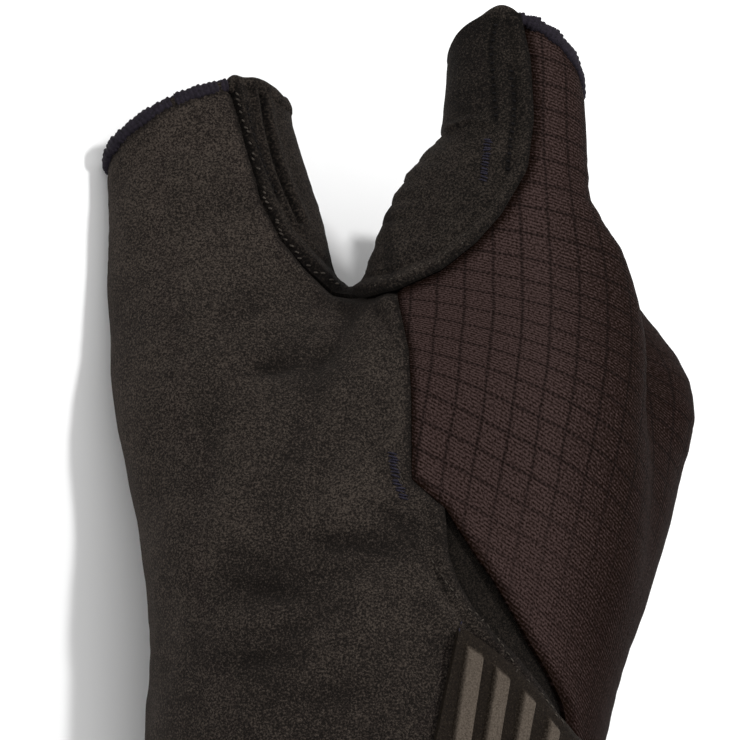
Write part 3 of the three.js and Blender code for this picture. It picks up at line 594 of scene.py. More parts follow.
@dataclass
class SkinMaker:
    """Traces the fine skin once and works out on which side of each seam its points lie."""

    form: GloveForm
    seams: Seams
    spacing: float = 0.9
    low: tuple = (10.0, -30.0, -82.0)
    high: tuple = (130.0, 152.0, 24.0)
    # Fine cells in a coarse one, and how near the skin the fine grid is worked out afresh
    blocks: int = 5
    band: float = 2.2
    # Where the far stalls and the body's own skin end the slit and its seams
    far_margin: float = 3.0
    slit_reach: float = 12.0
    off_slit: float = -20.0

    def trace(self) -> Skin:
        """Closed skin of the glove.

        Returns:
            The skin with its seam values.
        """
        h, n = self.spacing, self.blocks
        coarse = [np.arange(a - n * h, b + 2 * n * h, n * h) for a, b in zip(self.low, self.high)]
        grid = np.stack(np.meshgrid(*coarse, indexing="ij"), -1)
        value = self.form.skin(grid)
        size = [(len(c) - 1) * n + 1 for c in coarse]
        axes = [c[0] + h * np.arange(s) for c, s in zip(coarse, size)]
        for k, s in enumerate(size):
            at = np.arange(s) / n
            low = np.minimum(at.astype(int), len(coarse[k]) - 2)
            share = (at - low).reshape([-1 if m == k else 1 for m in range(3)])
            value = value.take(low, k) * (1 - share) + value.take(low + 1, k) * share
        band = np.argwhere(np.abs(value) < self.band + h)
        p = np.stack([axes[k][band[:, k]] for k in range(3)], -1)
        value[tuple(band.T)] = self.form.skin(p)
        points, quads = self.nets(value, axes)
        points, normals = self.form.to_skin(points)
        triangles = np.concatenate([quads[:, [0, 1, 2]], quads[:, [0, 2, 3]]])
        skin = Skin(points, normals, triangles)
        self.measure(skin)
        return skin

    def nets(self, value: Array, axes: list[Array]) -> tuple[Array, Array]:
        """Surface where a value on a grid crosses zero, one point for each cell.

        Args:
            value: The value at each grid point.
            axes: Grid positions along each axis.

        Returns:
            Points and four-sided faces.
        """
        inside = value < 0
        corners = [(i, j, k) for i in (0, 1) for j in (0, 1) for k in (0, 1)]
        n = [s - 1 for s in value.shape]
        count = sum(inside[i : n[0] + i, j : n[1] + j, k : n[2] + k].astype(np.int8)
                    for i, j, k in corners)
        cells = np.argwhere((count > 0) & (count < 8))
        index = -np.ones(count.shape, int)
        index[tuple(cells.T)] = np.arange(len(cells))
        total, hits = np.zeros((len(cells), 3)), np.zeros(len(cells))
        at = {c: value[tuple((cells + np.array(c)).T)] for c in corners}
        for a in corners:
            for k in range(3):
                if a[k]:
                    continue
                b = tuple(x + (m == k) for m, x in enumerate(a))
                cross = (at[a] < 0) != (at[b] < 0)
                t = np.where(cross, at[a] / np.where(cross, at[a] - at[b], 1), 0)
                p = np.array(a) + t[:, None] * (np.array(b) - np.array(a))
                total[cross] += p[cross]
                hits[cross] += 1
        part = total / hits[:, None]
        points = np.stack([axes[k][cells[:, k]] + part[:, k] * self.spacing for k in range(3)], -1)
        faces = []
        for k in range(3):
            a = inside.take(range(inside.shape[k] - 1), k)
            b = inside.take(range(1, inside.shape[k]), k)
            edge = np.argwhere(a != b)
            o1, o2 = (k + 1) % 3, (k + 2) % 3
            edge = edge[(edge[:, o1] > 0) & (edge[:, o2] > 0)
                        & (edge[:, o1] < inside.shape[o1] - 1)
                        & (edge[:, o2] < inside.shape[o2] - 1)]
            ring = []
            for d1, d2 in ((1, 1), (0, 1), (0, 0), (1, 0)):
                q = edge.copy()
                q[:, o1] -= d1
                q[:, o2] -= d2
                ring.append(index[tuple(q.T)])
            ring = np.stack(ring, -1)
            out = ~a[tuple(edge.T)]
            ring[out] = ring[out][:, ::-1]
            faces.append(ring)
        return points, np.vstack(faces)

    def measure(self, skin: Skin) -> None:
        """Stores the signed seam distances of each point.

        Args:
            skin: The skin, whose values are filled in.
        """
        p, seams = skin.points, self.seams
        d = self.form.parts(p)
        u, v = SHEET.project(p)
        facing = skin.normals @ SHEET.axes()[2] > 0
        far = np.minimum(np.minimum(d["middle"], d["ring"]), d["little"])
        near = np.minimum(np.minimum(d["body"], d["thumb"]), d["index"])
        total, weight = np.zeros(len(p)), np.zeros(len(p))
        for name, rows in seams.far.items():
            w = 1 / (0.5 + np.maximum(d[name], 0)) ** 3
            stations, across = np.array(rows).T
            total += w * (p[:, 0] - np.interp(p[:, 1], stations, across))
            weight += w
        far_side = total / weight
        clear = (far - near) * 0.5
        shown = np.minimum(clear, side_of_line(u, v, seams.web_edge))
        hidden = side_of_line(p[:, 0], p[:, 1], seams.web_edge_hidden)
        hidden = np.minimum(np.minimum(clear, hidden), -far_side)
        skin.values["web"] = np.where(facing, shown, hidden)
        for key, edge in (("palm_edge", seams.slit_palm_edge), ("back_edge", seams.slit_back_edge)):
            line = [*seams.above_slit, *edge, *seams.below_slit]
            right = side_of_line(u, v, [*line, *seams.beyond]) > 0
            gap = np.abs(side_of_line(u, v, line))
            on_sheet = np.where(right, gap, -gap)
            away = ~facing | (near > far - self.far_margin)
            skin.values[key] = np.where(away, far_side, on_sheet)
        slit = side_of_line(u, v, seams.slit(), True)
        away = ~facing | (far < near) | (d["body"] > self.slit_reach)
        skin.values["slit"] = np.where(away, self.off_slit, slit)
        skin.values["rims"] = self.form.below_rims(p, d)
        skin.values["facing"] = facing.astype(float)
        skin.values["sheet_u"], skin.values["sheet_v"] = u, v
        cloth = self.form.fabric(p)
        for k, key in enumerate(("steep", "flat", "round")):
            skin.values[key] = cloth[:, k]


def clip(skin: Skin, value: Array) -> Skin:
    """Cuts a skin along the zero line of a value and keeps the positive side.

    Args:
        skin: The skin to cut.
        value: One number for each point.

    Returns:
        The part that stays.
    """
    least = 0.02
    value = np.where(np.abs(value) < least, np.where(value < 0, -least, least), value)
    tri = skin.triangles
    inside = value[tri] > 0
    count = inside.sum(1)
    whole, cut = tri[count == 3], (count == 1) | (count == 2)
    tri, inside, count = tri[cut], inside[cut], count[cut]
    odd = np.where(count == 1, inside.argmax(1), (~inside).argmax(1))
    a, b, c = (tri[np.arange(len(tri)), (odd + k) % 3] for k in range(3))
    pairs = np.sort(np.concatenate([np.stack([a, b], 1), np.stack([a, c], 1)]), 1)
    edges, back = np.unique(pairs, axis=0, return_inverse=True)
    back = back.reshape(-1)
    i, j = edges.T
    t = value[i] / (value[i] - value[j])

    def blend(x: Array) -> Array:
        """Old values followed by those at the cuts."""
        w = t.reshape(-1, *[1] * (x.ndim - 1))
        return np.concatenate([x, x[i] * (1 - w) + x[j] * w])

    ab, ac = back[: len(a)] + len(value), back[len(a) :] + len(value)
    one = count == 1
    triangles = np.concatenate([
        whole,
        np.stack([a, ab, ac], 1)[one],
        np.stack([ab, b, c], 1)[~one],
        np.stack([ab, c, ac], 1)[~one],
    ])
    values = {k: blend(x) for k, x in skin.values.items()}
    return tidy(Skin(blend(skin.points), unit(blend(skin.normals)), triangles, values))


def halved(skin: Skin) -> Skin:
    """Skin with each triangle cut into four.

    Args:
        skin: The skin to refine.

    Returns:
        The finer skin.
    """
    a, b, c = skin.triangles.T
    pairs = np.sort(np.stack([np.concatenate([a, b, c]), np.concatenate([b, c, a])], 1), 1)
    edges, back = np.unique(pairs, axis=0, return_inverse=True)
    n = len(skin.points)
    ab, bc, ca = (back.reshape(-1) + n).reshape(3, -1)
    i, j = edges.T

    def grown(x: Array) -> Array:
        """Old values followed by those at the edges' middles."""
        return np.concatenate([x, (x[i] + x[j]) / 2])

    triangles = np.concatenate([
        np.stack(t, 1) for t in ((a, ab, ca), (ab, b, bc), (ca, bc, c), (ab, bc, ca))
    ])
    values = {k: grown(x) for k, x in skin.values.items()}
    return Skin(grown(skin.points), unit(grown(skin.normals)), triangles, values)


def tidy(skin: Skin) -> Skin:
    """Largest connected piece of a skin, without unused points.

    Args:
        skin: The skin with its loose pieces.

    Returns:
        The largest piece.
    """
    n = len(skin.points)
    label = np.arange(n)
    a, b, c = skin.triangles.T
    while True:
        low = np.minimum(np.minimum(label[a], label[b]), label[c])
        new = label.copy()
        for x in (a, b, c):
            np.minimum.at(new, x, low)
        new = new[new]
        new = new[new]
        if (new == label).all():
            break
        label = new
    keep = np.bincount(label[a], minlength=n).argmax()
    tri = skin.triangles[label[a] == keep]
    used, back = np.unique(tri, return_inverse=True)
    values = {k: x[used] for k, x in skin.values.items()}
    return Skin(skin.points[used], skin.normals[used], back.reshape(tri.shape), values)


def boundary(triangles: Array) -> Array:
    """Directed edges that only one triangle has.

    Args:
        triangles: Rows of three point numbers.

    Returns:
        Rows of two point numbers.
    """
    e = np.concatenate([triangles[:, [0, 1]], triangles[:, [1, 2]], triangles[:, [2, 0]]])
    big = int(triangles.max()) + 1
    return e[~np.isin(e[:, 0] * big + e[:, 1], e[:, 1] * big + e[:, 0])]


def new_object(name: str, points: Array, faces: Array, finish: "Finish", extras: dict,
               sharp: float = 50.0) -> bpy.types.Object:
    """Mesh object on the table from points of the hand frame.

    Args:
        name: Name of the piece.
        points: Points in millimetres.
        faces: Rows of point numbers.
        finish: The finish that gives its material.
        extras: Named numbers or vectors for each point, for the material.
        sharp: Angle in degrees above which an edge stays sharp.

    Returns:
        The object.
    """
    seated = POSE.to_table(points)
    seated[:, 2] = np.maximum(seated[:, 2], 0.0)
    mesh = bpy.data.meshes.new(name)
    mesh.from_pydata((seated * METRE).tolist(), [], faces.tolist())
    mesh.validate()
    mesh.polygons.foreach_set("use_smooth", np.ones(len(mesh.polygons), bool))
    for key, x in extras.items():
        vector = x.ndim == 2
        kind, slot = ("FLOAT_VECTOR", "vector") if vector else ("FLOAT", "value")
        attribute = mesh.attributes.new(key, kind, "POINT")
        attribute.data.foreach_set(slot, np.ascontiguousarray(x, np.float32).reshape(-1))
    mesh.set_sharp_from_angle(angle=math.radians(sharp))
    mesh.materials.append(finish.material())
    made = bpy.data.objects.new(name, mesh)
    bpy.context.scene.collection.objects.link(made)
    return made


# Finishes


def linear(colour: str) -> tuple:
    """Turns an sRGB hex colour to linear.

    Args:
        colour: The colour as #rrggbb.

    Returns:
        Linear red, green and blue, and an alpha of one.
    """
    c = np.array([int(colour[i : i + 2], 16) for i in (1, 3, 5)]) / 255
    c = np.where(c <= 0.04045, c / 12.92, ((c + 0.055) / 1.055) ** 2.4)
    return (*c.tolist(), 1.0)


def add(tree: bpy.types.NodeTree, kind: str, sockets: dict | None = None,
        stops: list | None = None, **settings: object) -> bpy.types.Node:
    """Adds a node with its settings and links.

    Args:
        tree: The material's node tree.
        kind: Node type without its ShaderNode prefix.
        sockets: Values or linked outputs for its inputs.
        stops: Rows of position and sRGB hex colour, where the node has a colour ramp.
        **settings: Properties of the node.

    Returns:
        The node.
    """
    made = tree.nodes.new("ShaderNode" + kind)
    for key, x in settings.items():
        setattr(made, key, x)
    for key, x in (sockets or {}).items():
        if isinstance(x, bpy.types.NodeSocket):
            tree.links.new(x, made.inputs[key])
        else:
            made.inputs[key].default_value = x
    if stops:
        while len(made.color_ramp.elements) < len(stops):
            made.color_ramp.elements.new(0.5)
        for element, (at, colour) in zip(made.color_ramp.elements, stops):
            element.position, element.color = at, linear(colour)
    return made


@dataclass(frozen=True)
class Finish:
    """A finish with its name, its colour slot and its principled shader."""

    name: str
    slot: str = ""

    def material(self) -> bpy.types.Material:
        """The material, made once.

        Returns:
            Blender's material of this finish.
        """
        made = bpy.data.materials.get(self.name)
        if made is None:
            made = bpy.data.materials.new(self.name)
            made.use_nodes = True
            tree = made.node_tree
            self.dress(tree, tree.nodes["Principled BSDF"])
        return made

    def dress(self, tree: bpy.types.NodeTree, shader: bpy.types.Node) -> None:
        """Sets the shader up."""
        raise NotImplementedError

    def finish(self, tree: bpy.types.NodeTree, shader: bpy.types.Node, links: dict,
               constants: dict) -> None:
        """Joins what varies to the shader and sets what is the same all over.

        Args:
            tree: The material's node tree.
            shader: Its principled shader.
            links: Sockets by the name of the shader's input.
            constants: Numbers and colours by the name of the shader's input.
        """
        for key, socket in links.items():
            tree.links.new(socket, shader.inputs[key])
        for key, x in constants.items():
            shader.inputs[key].default_value = x


@dataclass(frozen=True)
class SyntheticSuede(Finish):
    """Microfibre suede, brushed."""

    # Brushing raises a matt nap of short fibres. The eye sees a dusty dark cloth without gloss,
    # mottled in fine grains and in soft patches where the nap lies one way or the other.
    deep: str = "#100d0b"
    middle: str = "#211c19"
    light: str = "#3f3832"
    # A real tuft is about 0.1 mm wide, drawn 0.36 mm wide so that it shows
    grain: float = 0.36
    # Patches of nap that lie one way, millimetres
    patch: float = 9.0
    bump: float = 0.8
    sheen: float = 0.06
    # Streaks where a finger brushed the nap: waves for each millimetre
    streak: float = 0.55
    roughness: float = 0.95
    specular: float = 0.08
    sheen_roughness: float = 0.5
    sheen_colour: str = "#b8aca2"

    def dress(self, tree: bpy.types.NodeTree, shader: bpy.types.Node) -> None:
        """Mixes fibre grain, patches and the panels' painted shade and painted light.

        Args:
            tree: The material's node tree.
            shader: Its principled shader.
        """
        hand = add(tree, "Attribute", attribute_name="hand").outputs["Vector"]
        # Painted shade and painted light from the panels
        shade = add(tree, "Attribute", attribute_name="shade").outputs["Fac"]
        grain = add(tree, "TexNoise", {"Vector": hand, "Scale": 1 / self.grain, "Detail": 3.0,
                                       "Roughness": 0.75}).outputs["Fac"]
        patch = add(tree, "TexNoise", {"Vector": hand, "Scale": 1 / self.patch, "Detail": 4.0,
                                       "Roughness": 0.6}).outputs["Fac"]
        streak = add(tree, "TexNoise", {"Vector": hand, "Scale": self.streak, "Detail": 2.0,
                                        "Distortion": 1.2}).outputs["Fac"]
        tone = -1.9
        for part, share in ((patch, 0.55), (streak, 0.3), (grain, 4.0), (shade, -0.5)):
            tone = add(tree, "Math", {0: part, 1: share, 2: tone},
                       operation="MULTIPLY_ADD").outputs[0]
        colour = add(tree, "ValToRGB", {"Fac": tone},
                     [(0.1, self.deep), (0.5, self.middle), (1.0, self.light)])
        low = add(tree, "Math", {0: streak, 1: 0.8, 2: grain}, operation="MULTIPLY_ADD").outputs[0]
        bump = add(tree, "Bump", {"Height": low, "Strength": self.bump, "Distance": 0.00025})
        self.finish(tree, shader, {
            "Base Color": colour.outputs["Color"], "Normal": bump.outputs["Normal"],
        }, {
            "Roughness": self.roughness, "Specular IOR Level": self.specular,
            "Sheen Weight": self.sheen, "Sheen Roughness": self.sheen_roughness,
            "Sheen Tint": linear(self.sheen_colour),
        })


@dataclass(frozen=True)
class RipstopCloth(Finish):
    """Nylon ripstop, woven."""

    # A fine twill with a grid of heavier threads. The eye sees a brown cloth of thin ribs, crossed
    # by a net of dark dashed lines five millimetres apart, worn paler towards the wrist.
    shadow: str = "#100703"
    ground: str = "#241a18"
    rib: str = "#3d302e"
    line: str = "#090504"
    # Spacing and width of the heavier threads, millimetres
    pitch: float = 5.0
    thread: float = 0.5
    # Length of a dash of the heavier threads, where they pass under the ribs
    dash: float = 0.48
    # Real ribs stand about 0.45 mm apart, drawn 0.62 mm apart so that they show
    twill: float = 0.62
    # How much the ribs lean, and how often and how far the weave wanders from its straight lines
    lean: float = 0.12
    wander: float = 0.05
    wander_by: float = 1.2
    # Slubs of the yarn: waves for each millimetre
    slub: float = 2.6
    roughness: float = 0.75
    ior: float = 1.53
    specular: float = 0.02

    def dress(self, tree: bpy.types.NodeTree, shader: bpy.types.Node) -> None:
        """Draws the grid and the twill in the cloth's own flat coordinates.

        Args:
            tree: The material's node tree.
            shader: Its principled shader.
        """
        cloth = add(tree, "Attribute", attribute_name="cloth").outputs["Vector"]
        # Painted shade from the panels
        shade = add(tree, "Attribute", attribute_name="shade").outputs["Fac"]
        wander = add(tree, "TexNoise", {"Vector": cloth, "Scale": self.wander,
                                        "Detail": 1.0}).outputs["Color"]
        bent = add(tree, "VectorMath", {0: wander, 1: (self.wander_by, self.wander_by, 0.0),
                                        2: cloth}, operation="MULTIPLY_ADD").outputs[0]
        split = add(tree, "SeparateXYZ", {"Vector": bent})
        lines = []
        for a, b in (("X", "Y"), ("Y", "X")):
            wave = add(tree, "Math", {0: split.outputs[a], 1: self.pitch / 2}, operation="PINGPONG")
            near = add(tree, "MapRange", {"Value": wave.outputs[0], "From Min": 0.0,
                                          "From Max": self.thread, "To Min": 1.0, "To Max": 0.0},
                       interpolation_type="SMOOTHSTEP").outputs[0]
            dash = add(tree, "Math", {0: split.outputs[b], 1: self.dash},
                       operation="PINGPONG").outputs[0]
            dot = add(tree, "MapRange", {"Value": dash, "From Min": 0.1, "From Max": 0.4,
                                         "To Min": 0.4, "To Max": 1.0}).outputs[0]
            lines.append(add(tree, "Math", {0: near, 1: dot}, operation="MULTIPLY").outputs[0])
        grid = add(tree, "Math", {0: lines[0], 1: lines[1]}, operation="MAXIMUM").outputs[0]
        slant = add(tree, "Math", {0: split.outputs["X"], 1: self.lean, 2: split.outputs["Y"]},
                    operation="MULTIPLY_ADD").outputs[0]
        rib = add(tree, "Math", {0: slant, 1: self.twill / 2}, operation="PINGPONG").outputs[0]
        rib = add(tree, "Math", {0: rib, 1: 2 / self.twill}, operation="MULTIPLY").outputs[0]
        slub = add(tree, "TexNoise", {"Vector": cloth, "Scale": self.slub,
                                      "Detail": 2.0}).outputs["Fac"]
        tone = -0.6
        for part, share in ((slub, 2.2), (rib, 0.5), (shade, -0.5)):
            tone = add(tree, "Math", {0: part, 1: share, 2: tone},
                       operation="MULTIPLY_ADD").outputs[0]
        base = add(tree, "ValToRGB", {"Fac": tone},
                   [(0.2, self.shadow), (0.62, self.ground), (1.0, self.rib)]).outputs["Color"]
        worn = add(tree, "Attribute", attribute_name="worn").outputs["Fac"]
        left = add(tree, "Math", {0: worn, 1: -0.5, 2: 0.88}, operation="MULTIPLY_ADD").outputs[0]
        thin = add(tree, "Math", {0: grid, 1: left}, operation="MULTIPLY").outputs[0]
        colour = add(tree, "Mix", {"Factor": thin, 6: base, 7: linear(self.line)},
                     data_type="RGBA").outputs[2]
        height = add(tree, "Math", {0: grid, 1: -0.9, 2: rib}, operation="MULTIPLY_ADD").outputs[0]
        bump = add(tree, "Bump", {"Height": height, "Strength": 0.5, "Distance": 0.00012})
        self.finish(tree, shader, {
            "Base Color": colour, "Normal": bump.outputs["Normal"],
        }, {
            "Roughness": self.roughness, "IOR": self.ior, "Specular IOR Level": self.specular,
        })


@dataclass(frozen=True)
class MouldedRubber(Finish):
    """Rubber, moulded."""

    # The mould leaves a fine matt texture. The eye sees near black in the grooves and a dusty
    # grey-brown on the faces of the bars; the colour follows how high the rubber stands, which
    # paints shade into the grooves.
    groove: str = "#0e0a08"
    side: str = "#1e1812"
    face: str = "#5c534a"
    # Mould texture of about 0.3 mm: waves for each millimetre
    texture: float = 3.2
    roughness: float = 0.7
    ior: float = 1.52
    specular: float = 0.06

    def dress(self, tree: bpy.types.NodeTree, shader: bpy.types.Node) -> None:
        """Blends groove and face by how high the rubber stands, so that the grooves get painted
        shade.

        Args:
            tree: The material's node tree.
            shader: Its principled shader.
        """
        hand = add(tree, "Attribute", attribute_name="hand").outputs["Vector"]
        rise = add(tree, "Attribute", attribute_name="rise").outputs["Fac"]
        grain = add(tree, "TexNoise", {"Vector": hand, "Scale": self.texture, "Detail": 4.0,
                                       "Roughness": 0.7}).outputs["Fac"]
        # Painted shade: the lower the rubber stands, the darker it is
        tone = -0.4
        for part, share in ((rise, 0.5), (grain, 1.3)):
            tone = add(tree, "Math", {0: part, 1: share, 2: tone},
                       operation="MULTIPLY_ADD").outputs[0]
        colour = add(tree, "ValToRGB", {"Fac": tone},
                     [(0.05, self.groove), (0.35, self.side), (1.0, self.face)])
        bump = add(tree, "Bump", {"Height": grain, "Strength": 0.6, "Distance": 0.0003})
        self.finish(tree, shader, {
            "Base Color": colour.outputs["Color"], "Normal": bump.outputs["Normal"],
        }, {
            "Roughness": self.roughness, "IOR": self.ior, "Specular IOR Level": self.specular,
        })


@dataclass(frozen=True)
class SewingThread(Finish):
    """Polyester thread, twisted."""

    # The eye sees a faint soft lustre, with an uneven tone along each stitch from the twist
    dark: str = "#1c181b"
    light: str = "#3a343b"
    # A real ply is about 0.1 mm wide, drawn 0.4 mm wide so that it shows: waves for each mm
    ply: float = 2.4
    roughness: float = 0.72
    specular: float = 0.08
    sheen: float = 0.02

    def dress(self, tree: bpy.types.NodeTree, shader: bpy.types.Node) -> None:
        """Varies the tone along the thread.

        Args:
            tree: The material's node tree.
            shader: Its principled shader.
        """
        hand = add(tree, "Attribute", attribute_name="hand").outputs["Vector"]
        ply = add(tree, "TexNoise", {"Vector": hand, "Scale": self.ply, "Detail": 3.0,
                                     "Roughness": 0.7}).outputs["Fac"]
        colour = add(tree, "ValToRGB", {"Fac": ply}, [(0.3, self.dark), (0.7, self.light)])
        bump = add(tree, "Bump", {"Height": ply, "Strength": 0.5, "Distance": 0.0002})
        self.finish(tree, shader, {
            "Base Color": colour.outputs["Color"], "Normal": bump.outputs["Normal"],
        }, {
            "Roughness": self.roughness, "Specular IOR Level": self.specular,
            "Sheen Weight": self.sheen,
        })


@dataclass(frozen=True)
class PaintedBoard(Finish):
    """Board, painted with a roller."""

    # The eye sees an even matt white, with mottling of about 25 mm that hardly shows
    dark: str = "#f3f3f3"
    light: str = "#f6f6f6"
    mottle: float = 40.0
    roughness: float = 0.9

    def dress(self, tree: bpy.types.NodeTree, shader: bpy.types.Node) -> None:
        """Mottles the paint.

        Args:
            tree: The material's node tree.
            shader: Its principled shader.
        """
        place = add(tree, "TexCoord").outputs["Object"]
        mottle = add(tree, "TexNoise", {"Vector": place, "Scale": self.mottle}).outputs["Fac"]
        colour = add(tree, "ValToRGB", {"Fac": mottle}, [(0.0, self.dark), (1.0, self.light)])
        self.finish(tree, shader, {"Base Color": colour.outputs["Color"]},
                    {"Roughness": self.roughness})


class Finishes(Enum):
    """The glove's finishes."""

    PALM = SyntheticSuede("brushed_microfibre_suede", "suede")
    SIDE = SyntheticSuede("dark_brushed_suede", "dark_suede", "#090706", "#191512", "#332d28",
                          0.36, 7.0, 0.9, 0.04)
    # A darker copy of the dark suede: its darker colours are painted shade for the gusset that lies
    # back in the slit
    SLIT = SyntheticSuede("slit_brushed_suede", "slit_suede", "#080605", "#120f0c", "#241f1b",
                          0.34, 7.0, 0.8, 0.02)
    BACK = RipstopCloth("woven_nylon_ripstop", "ripstop")
    TAB = MouldedRubber("moulded_rubber", "tab_rubber")
    OVERLOCK = SewingThread("navy_overlock_thread", "binding_thread", "#0d0b0e", "#252029")
    TACK = SewingThread("navy_bar_tack_thread", "binding_thread", "#0e0d13", "#2e2b38")
    LIGHT = SewingThread("grey_sewing_thread", "binding_thread", "#1d1916", "#4c463f")
    DARK = SewingThread("black_sewing_thread", "binding_thread", "#060505", "#141112")
    FLOOR = PaintedBoard("white_painted_board")


# Sewn panels


class SkinSample:
    """One of the skin's values, read at the nearest point of the skin."""

    def __init__(self, skin: Skin, key: str, chosen: Array) -> None:
        """Stores the chosen points for fast look-up.

        Args:
            skin: The skin.
            key: Name of the value.
            chosen: Whether each point of the skin is stored.
        """
        self.value = skin.values[key][chosen]
        self.tree = KDTree(len(self.value))
        for i, p in enumerate(skin.points[chosen]):
            self.tree.insert(p, i)
        self.tree.balance()

    def at(self, points: Array) -> Array:
        """Values at other points."""
        return np.array([self.value[self.tree.find(p)[1]] for p in points])


WRINKLES = Noise(11)


def rim_drop(u: Array, v: Array, facing: Array) -> Array:
    """How far the web's edge lies below the thumb's rim.

    Args:
        u: First sheet coordinate.
        v: Second sheet coordinate.
        facing: One where the viewer sees the skin, and otherwise zero.

    Returns:
        The drop in millimetres.
    """
    drop, thumb_side, above = 1.7, 62, 100
    near, hidden = np.clip((u - 46.3) / 4.5, 0, 1), np.clip((u - 51) / 3.5, 0, 1)
    ease = np.where(facing > 0.5, near, hidden)
    return drop * ease * (3 - 2 * ease) * ease * ((u < thumb_side) & (v > above))


def ridge(d: Array, at: float, width: float) -> Array:
    """Bump of height one at a distance from a seam."""
    return np.exp(-(((d - at) / width) ** 2))


def profile(d: Array, rows: tuple) -> Array:
    """Sum of ridges from rows of height, distance from the seam and width."""
    return sum(height * ridge(d, at, width) for height, at, width in rows)


def ease_in(x: Array, start: float, length: float) -> Array:
    """Rise from 0 to 1 over a length, which falls where the length is negative."""
    return np.clip((x - start) / length, 0, 1)


@dataclass
class SewnPanel:
    """A cut panel of cloth: part of the skin with its own wrinkles and sewn edges."""

    form: GloveForm
    name: str
    node: str
    finish: Finishes
    wall: float = 1.2
    depth: float = 0.0
    edge: float = 1.0
    fine: bool = False
    # Size and height of each kind of wrinkle
    wrinkles: tuple = ()
    # Sheet height below which the cloth is worn, and over how much it gets so
    worn_from: float = 52.0
    worn_over: float = 22.0
    # Painted shade in strips beside seams and bound edges, where the cloth dips: share, distance,
    # width
    SEAM_SHADE: ClassVar[tuple] = ((1, 0, 0.9),)
    RIM_SHADE: ClassVar[tuple] = ((0.6, 2.4, 0.8),)

    def keep(self, skin: Skin) -> list[Array]:
        """Values that are positive on the panel."""
        raise NotImplementedError

    def relief(self, skin: Skin) -> Array:
        """Height of the panel's surface over the skin."""
        return sum(h * WRINKLES.at(skin.points, size) for size, h in self.wrinkles)

    def shade(self, skin: Skin) -> Array:
        """How dark the panel is near its seams and bound edges, as painted shade.

        Args:
            skin: The panel's part of the skin.

        Returns:
            Darkness from 0 to 1.
        """
        v = skin.values
        gap = np.minimum(np.abs(v["web"]), np.abs(v["palm_edge"]))
        # Painted shade in the dips beside seams and bound edges
        beside = profile(gap, self.SEAM_SHADE) + profile(v["rims"], self.RIM_SHADE)
        return np.clip(beside, 0, 1)

    def build(self, skin: Skin) -> bpy.types.Object:
        """Cuts the panel out of the skin, raises its relief and gives it a wall.

        Args:
            skin: The whole fine skin.

        Returns:
            The panel's object.
        """
        part = skin
        for k in range(len(self.keep(skin))):
            part = clip(part, self.keep(part)[k])
        if self.fine:
            part = halved(part)
        part.values["relief"] = self.relief(part)
        part.values["shade"] = self.shade(part)
        n = len(part.points)
        height = (part.values["relief"] - self.depth)[:, None]
        outer = part.points + part.normals * height
        inner = part.points + part.normals * (height - self.wall)
        rim = boundary(part.triangles)
        a, b = rim.T
        triangles = np.concatenate([
            part.triangles,
            part.triangles[:, ::-1] + n,
            np.stack([b, a, a + n], 1),
            np.stack([b, a + n, b + n], 1),
        ])
        v = part.values
        cloth = np.stack([v["steep"], v["flat"], 0 * v["flat"]], 1)
        worn = np.clip((self.worn_from - v["sheet_v"]) / self.worn_over, 0, 1) * v["facing"]
        extras = {
            "hand": np.concatenate([part.points] * 2),
            "cloth": np.concatenate([cloth] * 2),
            # Painted shade: the inner side of each panel is made fully dark, as the inside of the
            # glove lies in shade
            "shade": np.concatenate([v["shade"], np.ones(n)]),
            "worn": np.concatenate([worn] * 2),
        }
        made = new_object(self.name, np.concatenate([outer, inner]), triangles,
                          self.finish.value, extras)
        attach(made, "root")
        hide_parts(self.node)
        self.outer = (outer, part.triangles)
        LOG.info("%s: %d triangles", self.name, len(triangles))
        return made


